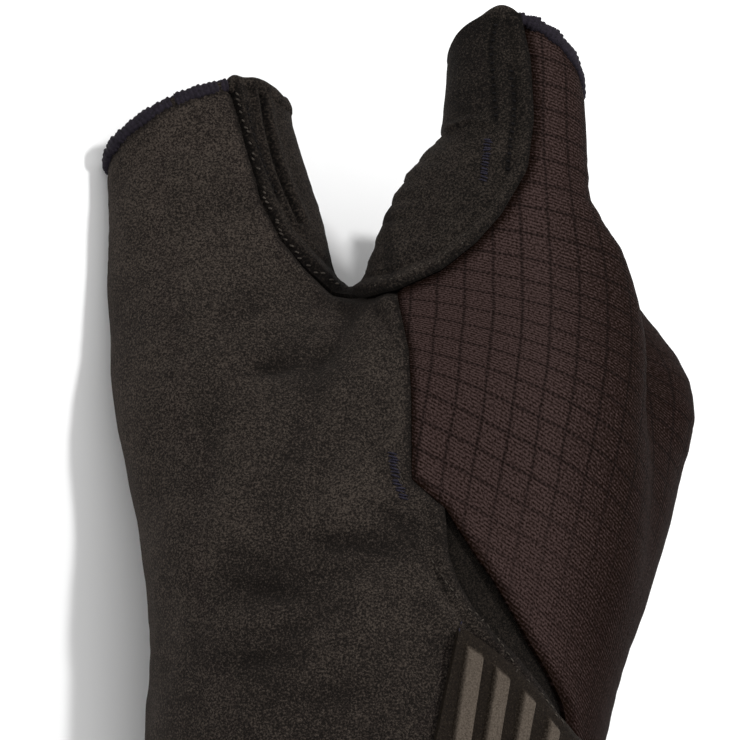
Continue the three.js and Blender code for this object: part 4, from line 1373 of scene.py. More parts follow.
class PalmPanel(SewnPanel):
    """Suede palm with the thumb's front, rolled along the wrist slit."""

    # Sheet u, sheet v, half length, half width, turn, depth
    CREASES = (
        (70.5, 78.0, 9, 1.5, -62, 0.45), (64.0, 77.0, 8, 1.6, 60, 0.4), (44, 78, 9, 2.4, 35, 0.35),
        (60, 50, 10, 2.2, 62, 0.45), (73, 41, 7, 1.4, -25, 0.5), (64, 31, 9, 2.0, 12, 0.5),
        (46, 33, 9, 2.2, -18, 0.4), (52, 20, 8, 1.8, 15, 0.45), (38, 52, 12, 3.0, 78, 0.4),
        (79, 33, 6, 1.3, -58, 0.45), (36, 96, 10, 3, 20, 0.3), (70, 58, 9, 2.4, 84, 0.35),
        (80, 20, 9, 2.0, -70, 0.35), (60, 8, 9, 2.2, 5, 0.4), (51, 69.2, 5, 1.5, 8, 0.7),
        (59.5, 70.5, 3, 1.8, 60, 0.5), (64, 44, 5, 9, 10, -0.3), (63, 36.5, 11, 1.8, -6, 0.55),
        (50, 27.5, 8, 1.7, -10, 0.5), (68, 25, 4, 6, 0, -0.3), (48, 15, 6, 1.6, 12, 0.45),
    )
    # Painted shade in the deep corner between thumb and index finger: sheet u and v, half width,
    # half height
    CROTCH = (64, 83, 7, 3.5)
    # How much deeper the creases are pressed than their rows say
    DEEPEN = 1.7
    # Height, distance and width of the swellings and grooves beside each edge
    AT_WEB = ((0.4, 1.9, 1.0), (-0.9, 0, 0.7))
    AT_SEAM = ((0.3, 1.7, 0.9), (-0.6, 0, 0.7))
    AT_SLIT = ((0.75, 1.1, 1.0), (-0.6, 3.1, 0.55))
    AT_RIM = ((-0.35, 2.6, 1.0),)
    # Start and length on the sheet of the rolled stretch, of the painted shade that darkens the
    # palm towards the wrist, and of the painted light that pales the top
    ROLLED, WRIST, TOP = (44, -4), (34, -30), (84, 12)
    # Painted shade that dents, creases, the corner and the wrist add to the darkness, and painted
    # light at the top, which takes some away
    IN_DENTS, IN_CREASES, IN_CORNER, AT_WRIST, AT_TOP = 0.42, 0.6, 0.9, 0.25, -0.12

    def keep(self, skin: Skin) -> list[Array]:
        """Left of the seam, below the web and inside the bound edges."""
        v = skin.values
        return [v["rims"] - self.edge, -v["web"], -v["palm_edge"]]

    def shade(self, skin: Skin) -> Array:
        """Painted shade beside the seams, in the dents, creases and corner, and a little towards
        the wrist, with painted light at the top.

        Args:
            skin: The panel's part of the skin.

        Returns:
            Darkness up to 1, below 0 where painted light makes the top paler.
        """
        v = skin.values
        # Painted shade, a little darker towards the wrist
        low = self.AT_WRIST * ease_in(v["sheet_v"], *self.WRIST)
        # Painted shade in the dents and creases
        sunk = self.IN_DENTS * self.form.dents(skin.points, self.form.FOLDS)
        sunk += self.IN_CREASES * self.form.dents(skin.points, self.CREASES)
        u0, v0, wide, tall = self.CROTCH
        corner = np.exp(-((v["sheet_u"] - u0) / wide) ** 2 - ((v["sheet_v"] - v0) / tall) ** 2)
        # Painted shade in the corner between thumb and index finger
        sunk += self.IN_CORNER * corner * v["facing"]
        # Painted light, a little paler towards the top
        high = self.AT_TOP * ease_in(v["sheet_v"], *self.TOP)
        return np.clip(super().shade(skin) + low + sunk + high, -0.2, 1)

    def relief(self, skin: Skin) -> Array:
        """Wrinkles, creases, and edges that roll into the seams.

        Args:
            skin: The panel's part of the skin.

        Returns:
            Heights over the skin.
        """
        v = skin.values
        base = super().relief(skin) - self.DEEPEN * self.form.dents(skin.points, self.CREASES)
        web, side = np.abs(v["web"]), np.abs(v["palm_edge"])
        base += profile(web, self.AT_WEB)
        in_slit = ease_in(v["sheet_v"], *self.ROLLED) * v["facing"]
        plain, rolled = profile(side, self.AT_SEAM), profile(side, self.AT_SLIT)
        base += plain * (1 - in_slit) + rolled * in_slit
        return base + profile(v["rims"], self.AT_RIM)


class BackPanel(SewnPanel):
    """Ripstop back with the backs of the finger stalls."""

    # Height, distance and width of the swellings and grooves beside each edge
    AT_WEB = ((-0.55, 0, 1.1),)
    AT_SEAM = ((0.15, 1.6, 0.8), (-0.5, 0, 0.7))
    AT_RIM = ((-0.3, 2.4, 1.0),)
    RIM_SHADE = ((0.5, 2.2, 0.7),)
    # The painted shade beside the web is wider than that beside the palm, by one over this
    WEB_SHADE = 0.6
    # Where round the hand the cloth turns down, over how much, and how much painted shade it gets
    # there
    TURNED, TURNED_SHADE = (102, 16), 0.75

    def keep(self, skin: Skin) -> list[Array]:
        """Right of the seam, outside the web and inside the bound edges."""
        v = skin.values
        return [v["rims"] - self.edge, -v["web"], v["back_edge"]]

    def relief(self, skin: Skin) -> Array:
        """Light wrinkles, and an edge that tucks under the suede.

        Args:
            skin: The panel's part of the skin.

        Returns:
            Heights over the skin.
        """
        v = skin.values
        base = super().relief(skin)
        web, side = np.abs(v["web"]), np.abs(v["back_edge"])
        base += profile(web, self.AT_WEB) + profile(side, self.AT_SEAM)
        return base + profile(v["rims"], self.AT_RIM)

    def shade(self, skin: Skin) -> Array:
        """Painted shade beside its seams, and more painted shade where it turns down to the
        knuckles.

        Args:
            skin: The panel's part of the skin.

        Returns:
            Darkness from 0 to 1.
        """
        v = skin.values
        gap = np.minimum(np.abs(v["web"]) * self.WEB_SHADE, np.abs(v["back_edge"]))
        # Painted shade where the cloth turns down to the knuckles
        turned = self.TURNED_SHADE * ease_in(v["round"], *self.TURNED)
        beside = profile(gap, self.SEAM_SHADE) + profile(v["rims"], self.RIM_SHADE)
        return np.clip(beside + turned, 0, 1)


class WebPanel(SewnPanel):
    """Dark suede gusset between thumb and index finger, laid over the ripstop."""

    # Lines on the sheet: the strip's fold, the cross seam and the rows of stitch holes
    FOLD = ((48.2, 121.0), (49.2, 114.0), (51.0, 107.0), (53.0, 101.5), (55.5, 96.0))
    CROSS = ((83.5, 113.0), (87.4, 114.6), (90.6, 113.9))
    HOLES = (
        ((91.9, 133.0), (91.0, 127.8), (91.4, 122.0), (91.9, 114.5)),
        ((94.5, 124.5), (95.2, 118.5), (95.0, 114.0), (94.4, 109.6), (93.9, 105.2)),
        ((45.6, 117.5), (46.9, 112.0), (49.0, 106.0), (51.4, 100.5)),
    )

    # Split between the thumb's side and the index finger's, and a distance that is surely off
    SIDES, OFF = 66, 9
    # The same corner as the palm's, how much painted shade it gets, and how dark the side of the
    # index stall gets
    CROTCH = (63, 86, 6, 5)
    IN_CORNER, ON_STALL = 0.7, 0.35
    # Share of the seams' painted shade that is left beside the index finger
    BY_INDEX = 0.6
    # Start and length on the sheet of the part laid over the ripstop, of the strip along the
    # thumb and of the dark side of the index stall
    OVERLAID, STRIP, STALL = (SIDES, 6), (62, -4), (108, 8)
    OVERLAP_HEIGHT = 0.9
    # Height, distance and width of the swellings and grooves beside each line
    AT_EDGE = ((0.45, 1.1, 0.7), (-0.4, 2.9, 0.5))
    AT_STRIP = ((0.5, 1.8, 1.3),)
    AT_GROOVE = ((-0.6, 0, 0.5),)
    AT_FOLD = ((0.6, 1.1, 0.6), (-1.0, 0, 0.45))
    AT_HOLES = ((-0.35, 0, 0.4),)
    AT_CROSS = ((0.5, 0, 0.6),)
    # Painted shade in the grooves and painted light on the lit edge: share, distance, width
    GROOVE_SHADE, LIT_SHADE = ((0.75, 0, 0.5),), ((-0.25, 1.2, 0.8),)
    LIT_FROM = 70

    def to_line(self, skin: Skin, line: tuple) -> Array:
        """Distance on the viewer's side to a line of the sheet.

        Args:
            skin: The panel's part of the skin.
            line: Rows of sheet u and sheet v.

        Returns:
            Distances without a sign.
        """
        v = skin.values
        gap = np.abs(side_of_line(v["sheet_u"], v["sheet_v"], line))
        return gap + self.OFF * (1 - v["facing"])

    def keep(self, skin: Skin) -> list[Array]:
        """Inside the gusset's outline and the bound edges.

        Args:
            skin: The whole skin.

        Returns:
            Values that are positive on the panel.
        """
        v = skin.values
        drop = rim_drop(v["sheet_u"], v["sheet_v"], v["facing"])
        return [v["rims"] - self.edge - drop, v["web"]]

    def relief(self, skin: Skin) -> Array:
        """A raised edge with a sunk row of stitches beside it.

        Args:
            skin: The panel's part of the skin.

        Returns:
            Heights over the skin.
        """
        v = skin.values
        web = np.abs(v["web"])
        over = ease_in(v["sheet_u"], *self.OVERLAID) * v["facing"]
        strip = ease_in(v["sheet_u"], *self.STRIP) * v["facing"]
        base = super().relief(skin) + self.OVERLAP_HEIGHT * over
        base += strip * profile(web, self.AT_STRIP) + profile(web, self.AT_EDGE)
        base += profile(web, self.AT_GROOVE) * (1 - over)
        fold, cross = self.to_line(skin, self.FOLD), self.to_line(skin, self.CROSS)
        base += profile(fold, self.AT_FOLD)
        for line in self.HOLES:
            base += profile(self.to_line(skin, line), self.AT_HOLES)
        return base + profile(cross, self.AT_CROSS)

    def shade(self, skin: Skin) -> Array:
        """Painted shade in the grooves and the corner, darker on the side of the index stall, and
        painted light on the lit edge.

        Args:
            skin: The panel's part of the skin.

        Returns:
            Darkness up to 1, below 0 where painted light makes the lit edge paler.
        """
        v = skin.values
        by_index = v["sheet_u"] > self.SIDES
        dark = super().shade(skin) * np.where(by_index, self.BY_INDEX, 1.0)
        # Painted shade in the fold and stitch-hole grooves
        for line in (self.FOLD, *self.HOLES):
            dark = np.maximum(dark, profile(self.to_line(skin, line), self.GROOVE_SHADE))
        stall = self.ON_STALL * ease_in(v["sheet_v"], *self.STALL) * by_index
        u0, v0, wide, tall = self.CROTCH
        corner = np.exp(-((v["sheet_u"] - u0) / wide) ** 2 - ((v["sheet_v"] - v0) / tall) ** 2)
        # Painted shade in the corner between thumb and index finger
        dark = dark + self.IN_CORNER * corner
        # Painted light on the raised edge
        lit = profile(v["web"], self.LIT_SHADE) * (v["sheet_u"] > self.LIT_FROM)
        return np.clip(dark + stall + lit, -0.25, 1)


class SlitGusset(SewnPanel):
    """Thin dark suede behind the wrist slit, in a darker copy that paints the slit's shade."""

    # How far it is tucked under the panels, and width and darkness of the painted shade at its rim,
    # under their edges
    TUCK = 2.0
    EDGE_WIDTH, EDGE_SHADE = 1.6, 0.7

    def keep(self, skin: Skin) -> list[Array]:
        """The slit with a tuck under both panels."""
        return [skin.values["slit"] + self.TUCK]

    def shade(self, skin: Skin) -> Array:
        """Painted shade, darker towards the edges of the slit where the panels overhang."""
        return np.clip(1 - skin.values["slit"] / self.EDGE_WIDTH, 0, 1) * self.EDGE_SHADE


# Bound edges, stitches and the closure tab


def sweep(path: Array, across: Array, lift: Array, section: Array,
          closed: bool) -> tuple[Array, Array]:
    """Tube of a changing section along a path.

    Args:
        path: Centre points.
        across: First section direction at each point.
        lift: Second section direction at each point.
        section: For each path point, rows of two section coordinates.
        closed: Whether the path is a loop.

    Returns:
        Points and four-sided faces.
    """
    n, m = section.shape[:2]
    points = path[:, None] + across[:, None] * section[..., :1] + lift[:, None] * section[..., 1:]
    i = np.arange(n if closed else n - 1)[:, None]
    j = np.arange(m)[None]
    k, l = (i + 1) % n, (j + 1) % m
    faces = np.stack(np.broadcast_arrays(i * m + j, i * m + l, k * m + l, k * m + j), -1)
    return points.reshape(-1, 3), faces.reshape(-1, 4)


@dataclass
class BoundEdge:
    """Overlock stitching wrapped round one open end, thread beside thread."""

    form: GloveForm
    name: str
    plane: tuple
    half_width: float = 1.35
    half_thickness: float = 0.95
    pitch: float = 1.04
    depth: float = 0.6
    steps: int = 7
    sides: int = 14
    # Rays that the end is found with, and where they start and stop
    rays: int = 720
    inside: float = 1.0
    outside: float = 80.0
    # How far a loop of thread leans over the edge, how uneven the loops are, how deep they cut in
    lean: float = 1.1
    uneven: float = 0.11
    groove: float = 0.17
    # How square the wrapped section is, and how fat the rolled suede is beside it
    squareness: float = 0.75
    roll: float = 1.15
    # Swellings of the rolled suede: share of its length, width, height
    HUMPS: ClassVar[tuple] = ((0.1, 0.07, 1.0), (0.5, 0.16, 0.6), (0.9, 0.06, 0.5))

    def loop(self) -> tuple[Array, Array, Array]:
        """Evenly spaced points round the end.

        Returns:
            The points, the directions down the glove and the directions out of it.
        """
        centre, normal, wide, deep = self.plane
        turn = np.linspace(0, 2 * np.pi, self.rays + 1)[:-1]
        flat = np.cos(turn)[:, None] * wide + np.sin(turn)[:, None] * deep
        ray = unit(flat - (flat @ normal)[:, None] * normal)
        loop = self.form.along_ray(centre, ray, self.inside, self.outside, -self.depth)
        close = np.vstack([loop, loop[:1]])
        run = np.concatenate([[0], np.linalg.norm(np.diff(close, axis=0), axis=1).cumsum()])
        count = int(round(run[-1] / self.pitch)) * self.steps
        at = np.arange(count) / count * run[-1]
        path = np.stack([np.interp(at, run, close[:, k]) for k in range(3)], -1)
        along = unit(np.roll(path, -1, 0) - np.roll(path, 1, 0))
        slope = self.form.slope(path, self.form.NEAR_STEP)
        out = unit(slope - (slope * along).sum(1, keepdims=True) * along)
        down = np.cross(out, along)
        down *= -np.sign((down @ normal))[:, None]
        return path, down, out

    def uncovered(self, path: Array, web: "SkinSample") -> tuple[int, int]:
        """Stretch of the edge that the web's suede leaves free.

        Args:
            path: Points round the end.
            web: The web's seam value over the skin.

        Returns:
            Number of the first point and the count of points.
        """
        hits = np.flatnonzero(web.at(path) > 0)
        if len(hits) == 0:
            return 0, len(path)
        gaps = np.diff(np.append(hits, hits[0] + len(path)))
        return int(hits[gaps.argmax()]) + 1, int(gaps.max()) - 1

    def build(self, node: str, web: "SkinSample") -> None:
        """Builds the wrapped cord, and a rolled suede edge where the web covers it.

        Args:
            node: The bound edge's solid.
            web: The web's seam value over the skin.
        """
        path, down, out = self.loop()
        n = len(path)
        start, count = self.uncovered(path, web)
        angle = np.linspace(0, 2 * np.pi, self.sides, endpoint=False)
        turn = 2 * np.pi * np.arange(n)[:, None] / self.steps + self.lean * np.cos(angle)[None]
        rng = np.random.default_rng(5)
        loops = 1 + self.uneven * rng.standard_normal(n // self.steps)
        size = np.repeat(loops, self.steps)[:, None]
        wave = size * (0.9 + self.groove * np.abs(np.cos(turn / 2)))
        c, d = np.cos(angle), np.sin(angle)
        x = self.half_width * (1 + np.sign(c) * np.abs(c) ** self.squareness * wave)
        y = self.half_thickness * np.sign(d) * np.abs(d) ** self.squareness * wave
        section = np.stack([x, y + 0 * x], -1)
        order = (start + np.arange(count)) % n
        if count == n:
            points, faces = sweep(path, down, out, section, True)
        else:
            points, faces = sweep(path[order], down[order], out[order], section[order], False)
        self.place(self.name, points, faces, Finishes.OVERLOCK, node)
        if count < n:
            overlap = 3
            order = (start + count - overlap + np.arange(n - count + 2 * overlap)) % n
            points, faces = self.rolled(path[order], down[order], out[order], c[None], d[None])
            self.place(self.name + "_suede", points, faces, Finishes.SIDE)
        LOG.info("%s: %d ribs", self.name, count // self.steps)

    def rolled(self, path: Array, down: Array, out: Array, c: Array,
               d: Array) -> tuple[Array, Array]:
        """Rolled suede edge with its swellings.

        Args:
            path: Points along the edge.
            down: Directions down the glove.
            out: Directions out of it.
            c: Cosines round the section.
            d: Sines round the section.

        Returns:
            Points and faces.
        """
        share = np.linspace(0, 1, len(path))[:, None]
        swell = sum(h * np.exp(-(((share - at) / w) ** 2)) for at, w, h in self.HUMPS)
        ends = np.clip(np.minimum(share, 1 - share) / 0.04, 0, 1) ** 0.5
        fat = (0.95 + 0.3 * swell) * (0.55 + 0.45 * ends)
        x = self.half_width * (self.roll + c * fat * self.roll) - 0.9 * swell * (c < 0) * np.abs(c)
        section = np.stack([x, self.half_thickness * d * fat * self.roll], -1)
        u, v = SHEET.project(path)
        drop = rim_drop(u, v, (out @ SHEET.axes()[2] > 0).astype(float))
        points, faces = sweep(path + down * drop[:, None], down, out, section, False)
        rough = 0.12 * WRINKLES.at(points, 1.6)[:, None]
        return points + rough * np.repeat(out, self.sides, 0), faces

    def place(self, name: str, points: Array, faces: Array, finish: Finishes,
              *nodes: str) -> None:
        """Makes one piece of the edge and keeps it above the table.

        Args:
            name: The piece's name.
            points: Its points.
            faces: Its faces.
            finish: Its finish.
            *nodes: Solids that it replaces.
        """
        low = np.maximum(0, -POSE.height(points))
        points = points + low[:, None] * POSE.up()
        shade = np.zeros(len(points))
        made = new_object(name, points, faces, finish.value, {"hand": points, "shade": shade}, 80)
        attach(made, "root")
        if nodes:
            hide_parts(*nodes)


@dataclass
class StitchLine:
    """A row of thread stitches laid on the panels, drawn on the pattern sheet."""

    name: str
    line: tuple
    finish: Finishes
    pitch: float = 1.4
    length: float = 1.0
    radius: float = 0.2
    lift: float = 0.05
    turn: float = 0.0
    wobble: float = 0.0
    skipped: float = 0.0
    # Half of the stretch of the line that gives a stitch its direction
    REACH: ClassVar[float] = 0.3
    # Spread of the turn in degrees, how deep a stitch lies in and how thick its ends are, as shares
    SPREAD: ClassVar[float] = 6
    SUNK: ClassVar[float] = 0.6
    END: ClassVar[float] = 0.25
    RINGS: ClassVar[int] = 7
    SIDES: ClassVar[int] = 6

    def build(self, surface: BVHTree) -> bpy.types.Object | None:
        """Lays the stitches on the surface.

        Args:
            surface: The dressed panels in the hand frame.

        Returns:
            The piece with all stitches of the row.
        """
        rows = np.array(self.line, float)
        run = np.concatenate([[0], np.linalg.norm(np.diff(rows, axis=0), axis=1).cumsum()])
        rng = np.random.default_rng(len(self.name))
        points, faces, total = [], [], 0
        for s in np.arange(self.pitch / 2, run[-1], self.pitch):
            place = [np.array([np.interp(x, run, rows[:, k]) for k in (0, 1)])
                     for x in (s - self.REACH, s, s + self.REACH)]
            hits = []
            for uv in place:
                off = self.wobble * rng.standard_normal(2) * (uv is place[1])
                start, ray = SHEET.ray(*(uv + off))
                hits.append(surface.ray_cast(Vector(start), Vector(ray)))
            if any(h[0] is None for h in hits) or rng.random() < self.skipped:
                continue
            centre, normal = np.array(hits[1][0]), unit(np.array(hits[1][1]))
            normal = normal if normal @ SHEET.axes()[2] > 0 else -normal
            along = np.array(hits[2][0]) - np.array(hits[0][0])
            along = unit(along - (along @ normal) * normal)
            side = np.cross(normal, along)
            t = math.radians(self.turn + self.SPREAD * rng.standard_normal() * (self.wobble > 0))
            run_way = along * math.cos(t) + side * math.sin(t)
            over = side * math.cos(t) - along * math.sin(t)
            step = np.linspace(-1, 1, self.RINGS)
            arch = np.sqrt(np.maximum(1 - step**2, 0))
            path = centre + run_way * (step * self.length / 2)[:, None]
            high = self.lift - self.radius * self.SUNK + self.radius * arch
            path = path + normal * high[:, None]
            angle = np.linspace(0, 2 * np.pi, self.SIDES, endpoint=False)[None]
            thick = (self.radius * (self.END + (1 - self.END) * arch))[:, None]
            section = np.stack([np.cos(angle) * thick, np.sin(angle) * thick], -1)
            across, lift = (np.repeat(x[None], self.RINGS, 0) for x in (over, normal))
            p, f = sweep(path, across, lift, section, False)
            points.append(p)
            faces.append(f + total)
            total += len(p)
        if not points:
            return None
        points = np.concatenate(points)
        made = new_object(self.name, points, np.concatenate(faces), self.finish.value,
                          {"hand": points}, 80)
        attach(made, "root")
        LOG.info("%s: %d stitches", self.name, len(faces))
        return made


@dataclass
class ClosureTab:
    """Rubber closure tab with four bevelled bars, laid round the wrist."""

    form: GloveForm
    gap: float = 0.6
    wall: float = 1.6
    bar: float = 1.3
    bottom: float = -17.0
    # The tail of the tab narrows from this turn on, in millimetres for each degree
    tail_turn: float = 20.0
    tail_rise: float = 0.35
    # Where the bars start below the top edge and end above the bottom one, and their slopes
    bar_top: tuple = (2.4, 1.1)
    bar_bottom: tuple = (1.2, 0.9)
    # Width of the rounded edge and share of the wall that is left at its very edge
    edge: float = 1.2
    edge_share: float = 0.55
    # Sheet points between two columns and from top to bottom
    between: int = 6
    count: int = 64
    # Turn at the top, along at the top, turn at the bottom, share of the bar height
    columns: tuple = (
        (62.8, 19.3, 76.8, 0), (60.7, 19.0, 70.2, 0), (59.6, 18.7, 69.0, 1), (55.5, 17.4, 64.4, 1),
        (54.4, 17.0, 63.2, 0), (51.6, 15.8, 60.2, 0), (50.5, 15.4, 59.0, 1), (47.0, 14.0, 55.0, 1),
        (45.9, 13.6, 53.8, 0), (42.6, 12.2, 50.2, 0), (41.5, 11.7, 49.0, 1), (38.6, 10.5, 45.6, 1),
        (37.5, 10.0, 44.4, 0), (33.6, 8.0, 40.0, 0), (32.5, 7.4, 38.8, 1), (29.8, 6.1, 35.8, 1),
        (28.7, 5.6, 34.6, 0), (22.0, 2.8, 27.0, 0), (16.0, 1.2, 19.0, 0), (9.0, -0.1, 11.0, 0),
        (3.0, -1.0, 4.0, 0), (-3.0, -1.8, -3.0, 0), (-9.0, -2.6, -9.0, 0), (-15.0, -3.3, -15.0, 0),
        (-20.0, -4.0, -20.0, 0), (-25.0, -5.6, -25.0, 0), (-27.5, -9.4, -27.5, 0),
    )

    def build(self) -> bpy.types.Object:
        """Builds the tab as a fine sheet over the wrist with the bars raised on it.

        Returns:
            The tab's object.
        """
        rows = np.array(self.columns, float)
        fine, share = [], np.linspace(0, 1, self.between + 1)[:-1]
        for a, b in zip(rows[:-1], rows[1:]):
            fine.extend(a + (b - a) * t for t in share)
        fine = np.array(fine + [rows[-1]])
        down = np.linspace(0, 1, self.count)
        top_turn, top, low_turn, rise = (fine[:, k][:, None] for k in range(4))
        bottom = self.bottom + np.maximum(0, -top_turn - self.tail_turn) * self.tail_rise
        run = top - bottom
        gone = down[None] * run
        turn = np.radians(top_turn + (low_turn - top_turn) * down[None])
        station = top - gone
        from_top = ease_in(gone, *self.bar_top)
        from_bottom = ease_in(run - gone, *self.bar_bottom)
        rise = rise * rise * (3 - 2 * rise)
        high = rise * np.minimum(from_top, from_bottom)
        body = self.form.tubes["body"]
        axis = body.centres[body.nearest(0)]
        centre = np.stack(np.broadcast_arrays(axis[0], station, axis[2]), -1).reshape(-1, 3)
        ray = np.stack([np.cos(turn), 0 * turn, np.sin(turn)], -1).reshape(-1, 3)
        skin = self.form.along_ray(centre, ray, 12.0, 62.0)
        normal = unit(self.form.slope(skin, 0.6))
        edge = np.minimum(np.minimum(gone, run - gone), self.edge) / self.edge
        full = np.sqrt(np.clip(edge, 0, 1))
        soft = self.wall * (self.edge_share + (1 - self.edge_share) * full)
        level = (self.gap + soft + self.bar * high).reshape(-1, 1)
        upper, lower = skin + normal * level, skin + normal * self.gap
        n, m = station.shape
        i, j = np.arange(n - 1)[:, None], np.arange(m - 1)[None]
        here, beside = i * m + j, (i + 1) * m + j
        quad = np.stack(np.broadcast_arrays(here, here + 1, beside + 1, beside), -1).reshape(-1, 4)
        tri = np.concatenate([quad[:, [0, 1, 2]], quad[:, [0, 2, 3]]])
        a, b = boundary(tri).T
        k = n * m
        faces = np.concatenate([tri, tri[:, ::-1] + k, np.stack([b, a, a + k], 1),
                                np.stack([b, a + k, b + k], 1)])
        points = np.concatenate([upper, lower])
        level = np.concatenate([high.reshape(-1), np.zeros(k)])
        made = new_object("closure_tab_rubber", points, faces, Finishes.TAB.value,
                          {"hand": points, "rise": level}, 40)
        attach(made, "root")
        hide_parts("closure_tab")
        self.outer = (upper, tri)
        LOG.info("closure_tab_rubber: %d triangles", len(faces))
        return made


# Studio


@dataclass
class Studio:
    """White table, soft light and the camera."""

    world: float = 0.89
    key: float = 5.0
    fill: float = 0.8
    key_size: float = 0.08
    key_away: float = 0.9
    # Direction to the key light in the table frame
    key_way: tuple = (0.22, 0.42, 1.0)
    fill_size: float = 0.7
    fill_away: float = 1.0
    # The table's half width and how far it lies below the glove, metres
    half_width: float = 2.0
    sunk: float = 0.0001
    sensor: float = 36.0

    def aim(self, made: bpy.types.Object, place: Array, target: Array) -> None:
        """Puts an object at a place and points it at a target.

        Args:
            made: The object.
            place: Where it goes, in metres.
            target: What it points at, in metres.
        """
        made.location = Vector(place)
        way = Vector(target) - Vector(place)
        made.rotation_euler = way.to_track_quat("-Z", "Y").to_euler()

    def lamp(self, name: str, place: Array, target: Array, size: float, power: float) -> None:
        """Adds a square area light.

        Args:
            name: Its name.
            place: Where it stands, in metres.
            target: What it points at.
            size: Side of the square in metres.
            power: Its power in watts.
        """
        data = bpy.data.lights.new(name, "AREA")
        data.size, data.energy = size, power
        made = bpy.data.objects.new(name, data)
        bpy.context.scene.collection.objects.link(made)
        self.aim(made, place, target)

    def build(self) -> None:
        """Builds floor, lights and camera."""
        scene = bpy.context.scene
        mesh = bpy.data.meshes.new("studio_table")
        corners = [(-1, -1), (1, -1), (1, 1), (-1, 1)]
        mesh.from_pydata([(x * self.half_width, y * self.half_width, -self.sunk)
                          for x, y in corners], [], [(0, 1, 2, 3)])
        mesh.materials.append(Finishes.FLOOR.value.material())
        floor = bpy.data.objects.new("studio_table", mesh)
        scene.collection.objects.link(floor)
        world = bpy.data.worlds.new("soft_room")
        world.use_nodes = True
        ground = world.node_tree.nodes["Background"]
        ground.inputs["Color"].default_value = (1, 1, 1, 1)
        ground.inputs["Strength"].default_value = self.world
        scene.world = world
        right, up, back = (self.turned(x) for x in SHEET.axes())
        target = POSE.to_table(np.array(SHEET.centre)) * METRE
        key = unit(np.array(self.key_way)) * self.key_away
        self.lamp("key_softbox", target + key, target, self.key_size, self.key)
        side = unit(0.7 * back - 0.6 * right + 0.2 * up) * self.fill_away
        self.lamp("fill_softbox", target + side, target, self.fill_size, self.fill)
        data = bpy.data.cameras.new("camera")
        data.sensor_width = self.sensor
        data.lens = self.sensor * SHEET.distance / SHEET.width
        camera = bpy.data.objects.new("camera", data)
        frame_of = Matrix([[*v] for v in np.stack([right, up, back], 1)]).to_4x4()
        eye = Vector(POSE.to_table(SHEET.eye()) * METRE)
        camera.matrix_world = Matrix.Translation(eye) @ frame_of
        scene.collection.objects.link(camera)
        scene.camera = camera
        scene.view_settings.view_transform = "Standard"
        LOG.info("studio: table, two lights, camera")

    def turned(self, v: Array) -> Array:
        """Direction of the hand frame in the table frame."""
        return POSE.to_table(v) - POSE.to_table(np.zeros(3))


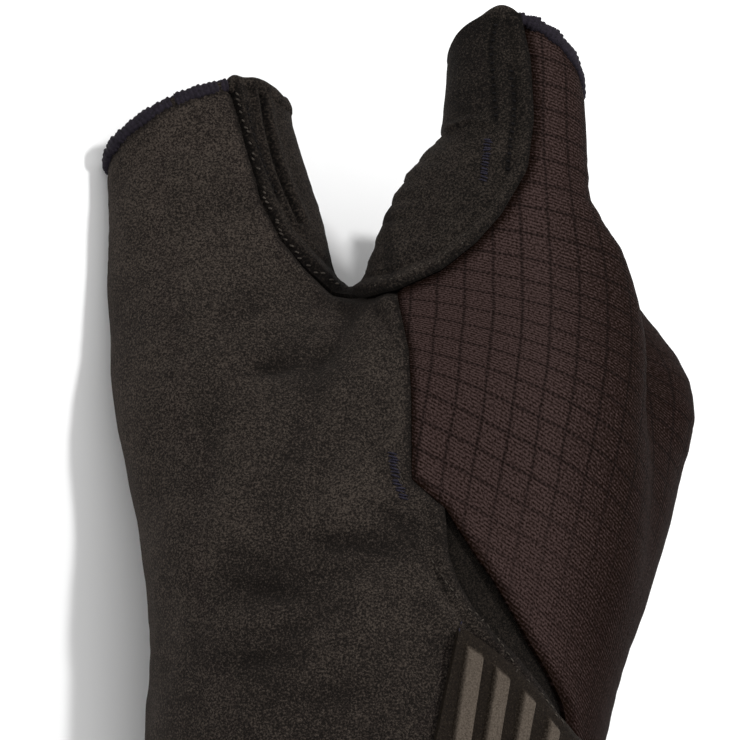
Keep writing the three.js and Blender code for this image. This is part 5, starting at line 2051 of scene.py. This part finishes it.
class Glove:
    """The whole glove: panels, bound edges, tab and stitches."""

    SPACING, QUICK_SPACING = 0.9, 1.3
    # Name, line on the sheet, finish, pitch, length, radius, lift, turn, wobble, share skipped
    ROWS = (
        StitchLine("slit_stitches", ((79.6, 33.7), (81.5, 30.7), (85.9, 24.8), (90.4, 21.5),
                                     (96.3, 12.2), (100.6, 8.0), (104.5, 3.0)),
                   Finishes.LIGHT, 1.6, 1.0, 0.15, 0.03, 0, 0.12, 0.15),
        StitchLine("web_stitches", ((43.6, 120.0), (46.4, 110.0), (49.4, 99.5), (52.8, 92.6),
                                    (57.2, 87.8), (62.4, 84.2)),
                   Finishes.LIGHT, 1.05, 1.0, 0.19, 0.0, 38, 0.22, 0.3),
        StitchLine("web_strip_stitches", WebPanel.HOLES[2],
                   Finishes.DARK, 1.25, 0.7, 0.2, 0.02, 15, 0.06),
        StitchLine("web_stitches_index", ((68.5, 84.4), (73.5, 85.4), (81.2, 89.0), (87.4, 93.8)),
                   Finishes.LIGHT, 1.6, 0.6, 0.13, 0.03, 20, 0.35, 0.3),
        StitchLine("index_inner_stitches", WebPanel.HOLES[0],
                   Finishes.DARK, 1.4, 1.0, 0.24, 0.02, 90, 0.03),
        StitchLine("index_outer_stitches", WebPanel.HOLES[1],
                   Finishes.DARK, 1.4, 1.0, 0.24, 0.02, 90, 0.03),
        StitchLine("palm_bar_tack", ((72.5, 53.3), (73.4, 48.5), (74.6, 44.6)),
                   Finishes.TACK, 0.6, 1.9, 0.2, 0.12, 62, 0.12),
        # Sparse light grey stitches over the navy bar tack: painted highlights of the tack's thread
        StitchLine("palm_bar_tack_lights", ((73.0, 53.3), (73.9, 48.5), (74.9, 44.6)),
                   Finishes.LIGHT, 1.1, 1.2, 0.09, 0.3, 20, 0.25, 0.4),
        StitchLine("index_bar_tack", ((90.4, 111.6), (90.0, 107.5), (89.4, 103.2)),
                   Finishes.TACK, 0.55, 1.5, 0.19, 0.15, 80, 0.08),
        StitchLine("tab_stitches", ((85.5, 22.3), (83.8, 15.5), (82.0, 6.5), (80.8, 0.5),
                                    (80.2, -4.0)),
                   Finishes.TACK, 1.35, 0.8, 0.17, 0.06, 0, 0.04),
    )

    def __init__(self) -> None:
        """Makes the form and the fine skin."""
        self.form = GloveForm()
        spacing = self.SPACING
        self.skin = SkinMaker(self.form, Seams(), spacing).trace()
        LOG.info("skin: %d points", len(self.skin.points))

    def build(self) -> None:
        """Builds every piece in order."""
        suede, cloth = ((17, 0.6), (8, 0.4), (3.6, 0.12)), ((24, 0.3), (9, 0.08))
        panels = [
            PalmPanel(self.form, "palm_suede", "palm_panel", Finishes.PALM, wrinkles=suede),
            BackPanel(self.form, "back_ripstop", "back_panel", Finishes.BACK, wrinkles=cloth),
            WebPanel(self.form, "web_suede", "web_gusset", Finishes.SIDE, fine=True,
                     wrinkles=((8, 0.14), (2.2, 0.07))),
            SlitGusset(self.form, "slit_suede_gusset", "slit_gusset", Finishes.SLIT, wall=1.0,
                       depth=1.5, wrinkles=((6, 0.2),)),
        ]
        for panel in panels:
            panel.build(self.skin)
        web = SkinSample(self.skin, "web", np.abs(self.skin.values["rims"]) < 3)
        for name in self.form.rims:
            edge = BoundEdge(self.form, name + "_overlock", self.form.rims[name])
            edge.build(name + "_binding", web)
        BoundEdge(self.form, "hem_overlock", self.form.hem).build("hem_binding", web)
        tab = ClosureTab(self.form)
        tab.build()
        outer = [p.outer for p in panels[:3]] + [tab.outer]
        starts = np.cumsum([0] + [len(p) for p, _ in outer])
        points = np.concatenate([p for p, _ in outer])
        faces = np.concatenate([t + s for (_, t), s in zip(outer, starts)])
        surface = BVHTree.FromPolygons(points.tolist(), faces.tolist())
        for row in self.ROWS:
            row.build(surface)


def main() -> None:
    """Builds the glove and the studio."""
    logging.basicConfig(level=logging.INFO, format="%(message)s")
    Glove().build()
    Studio().build()
    bpy.context.view_layer.update()


if __name__ == "__main__":
    main()
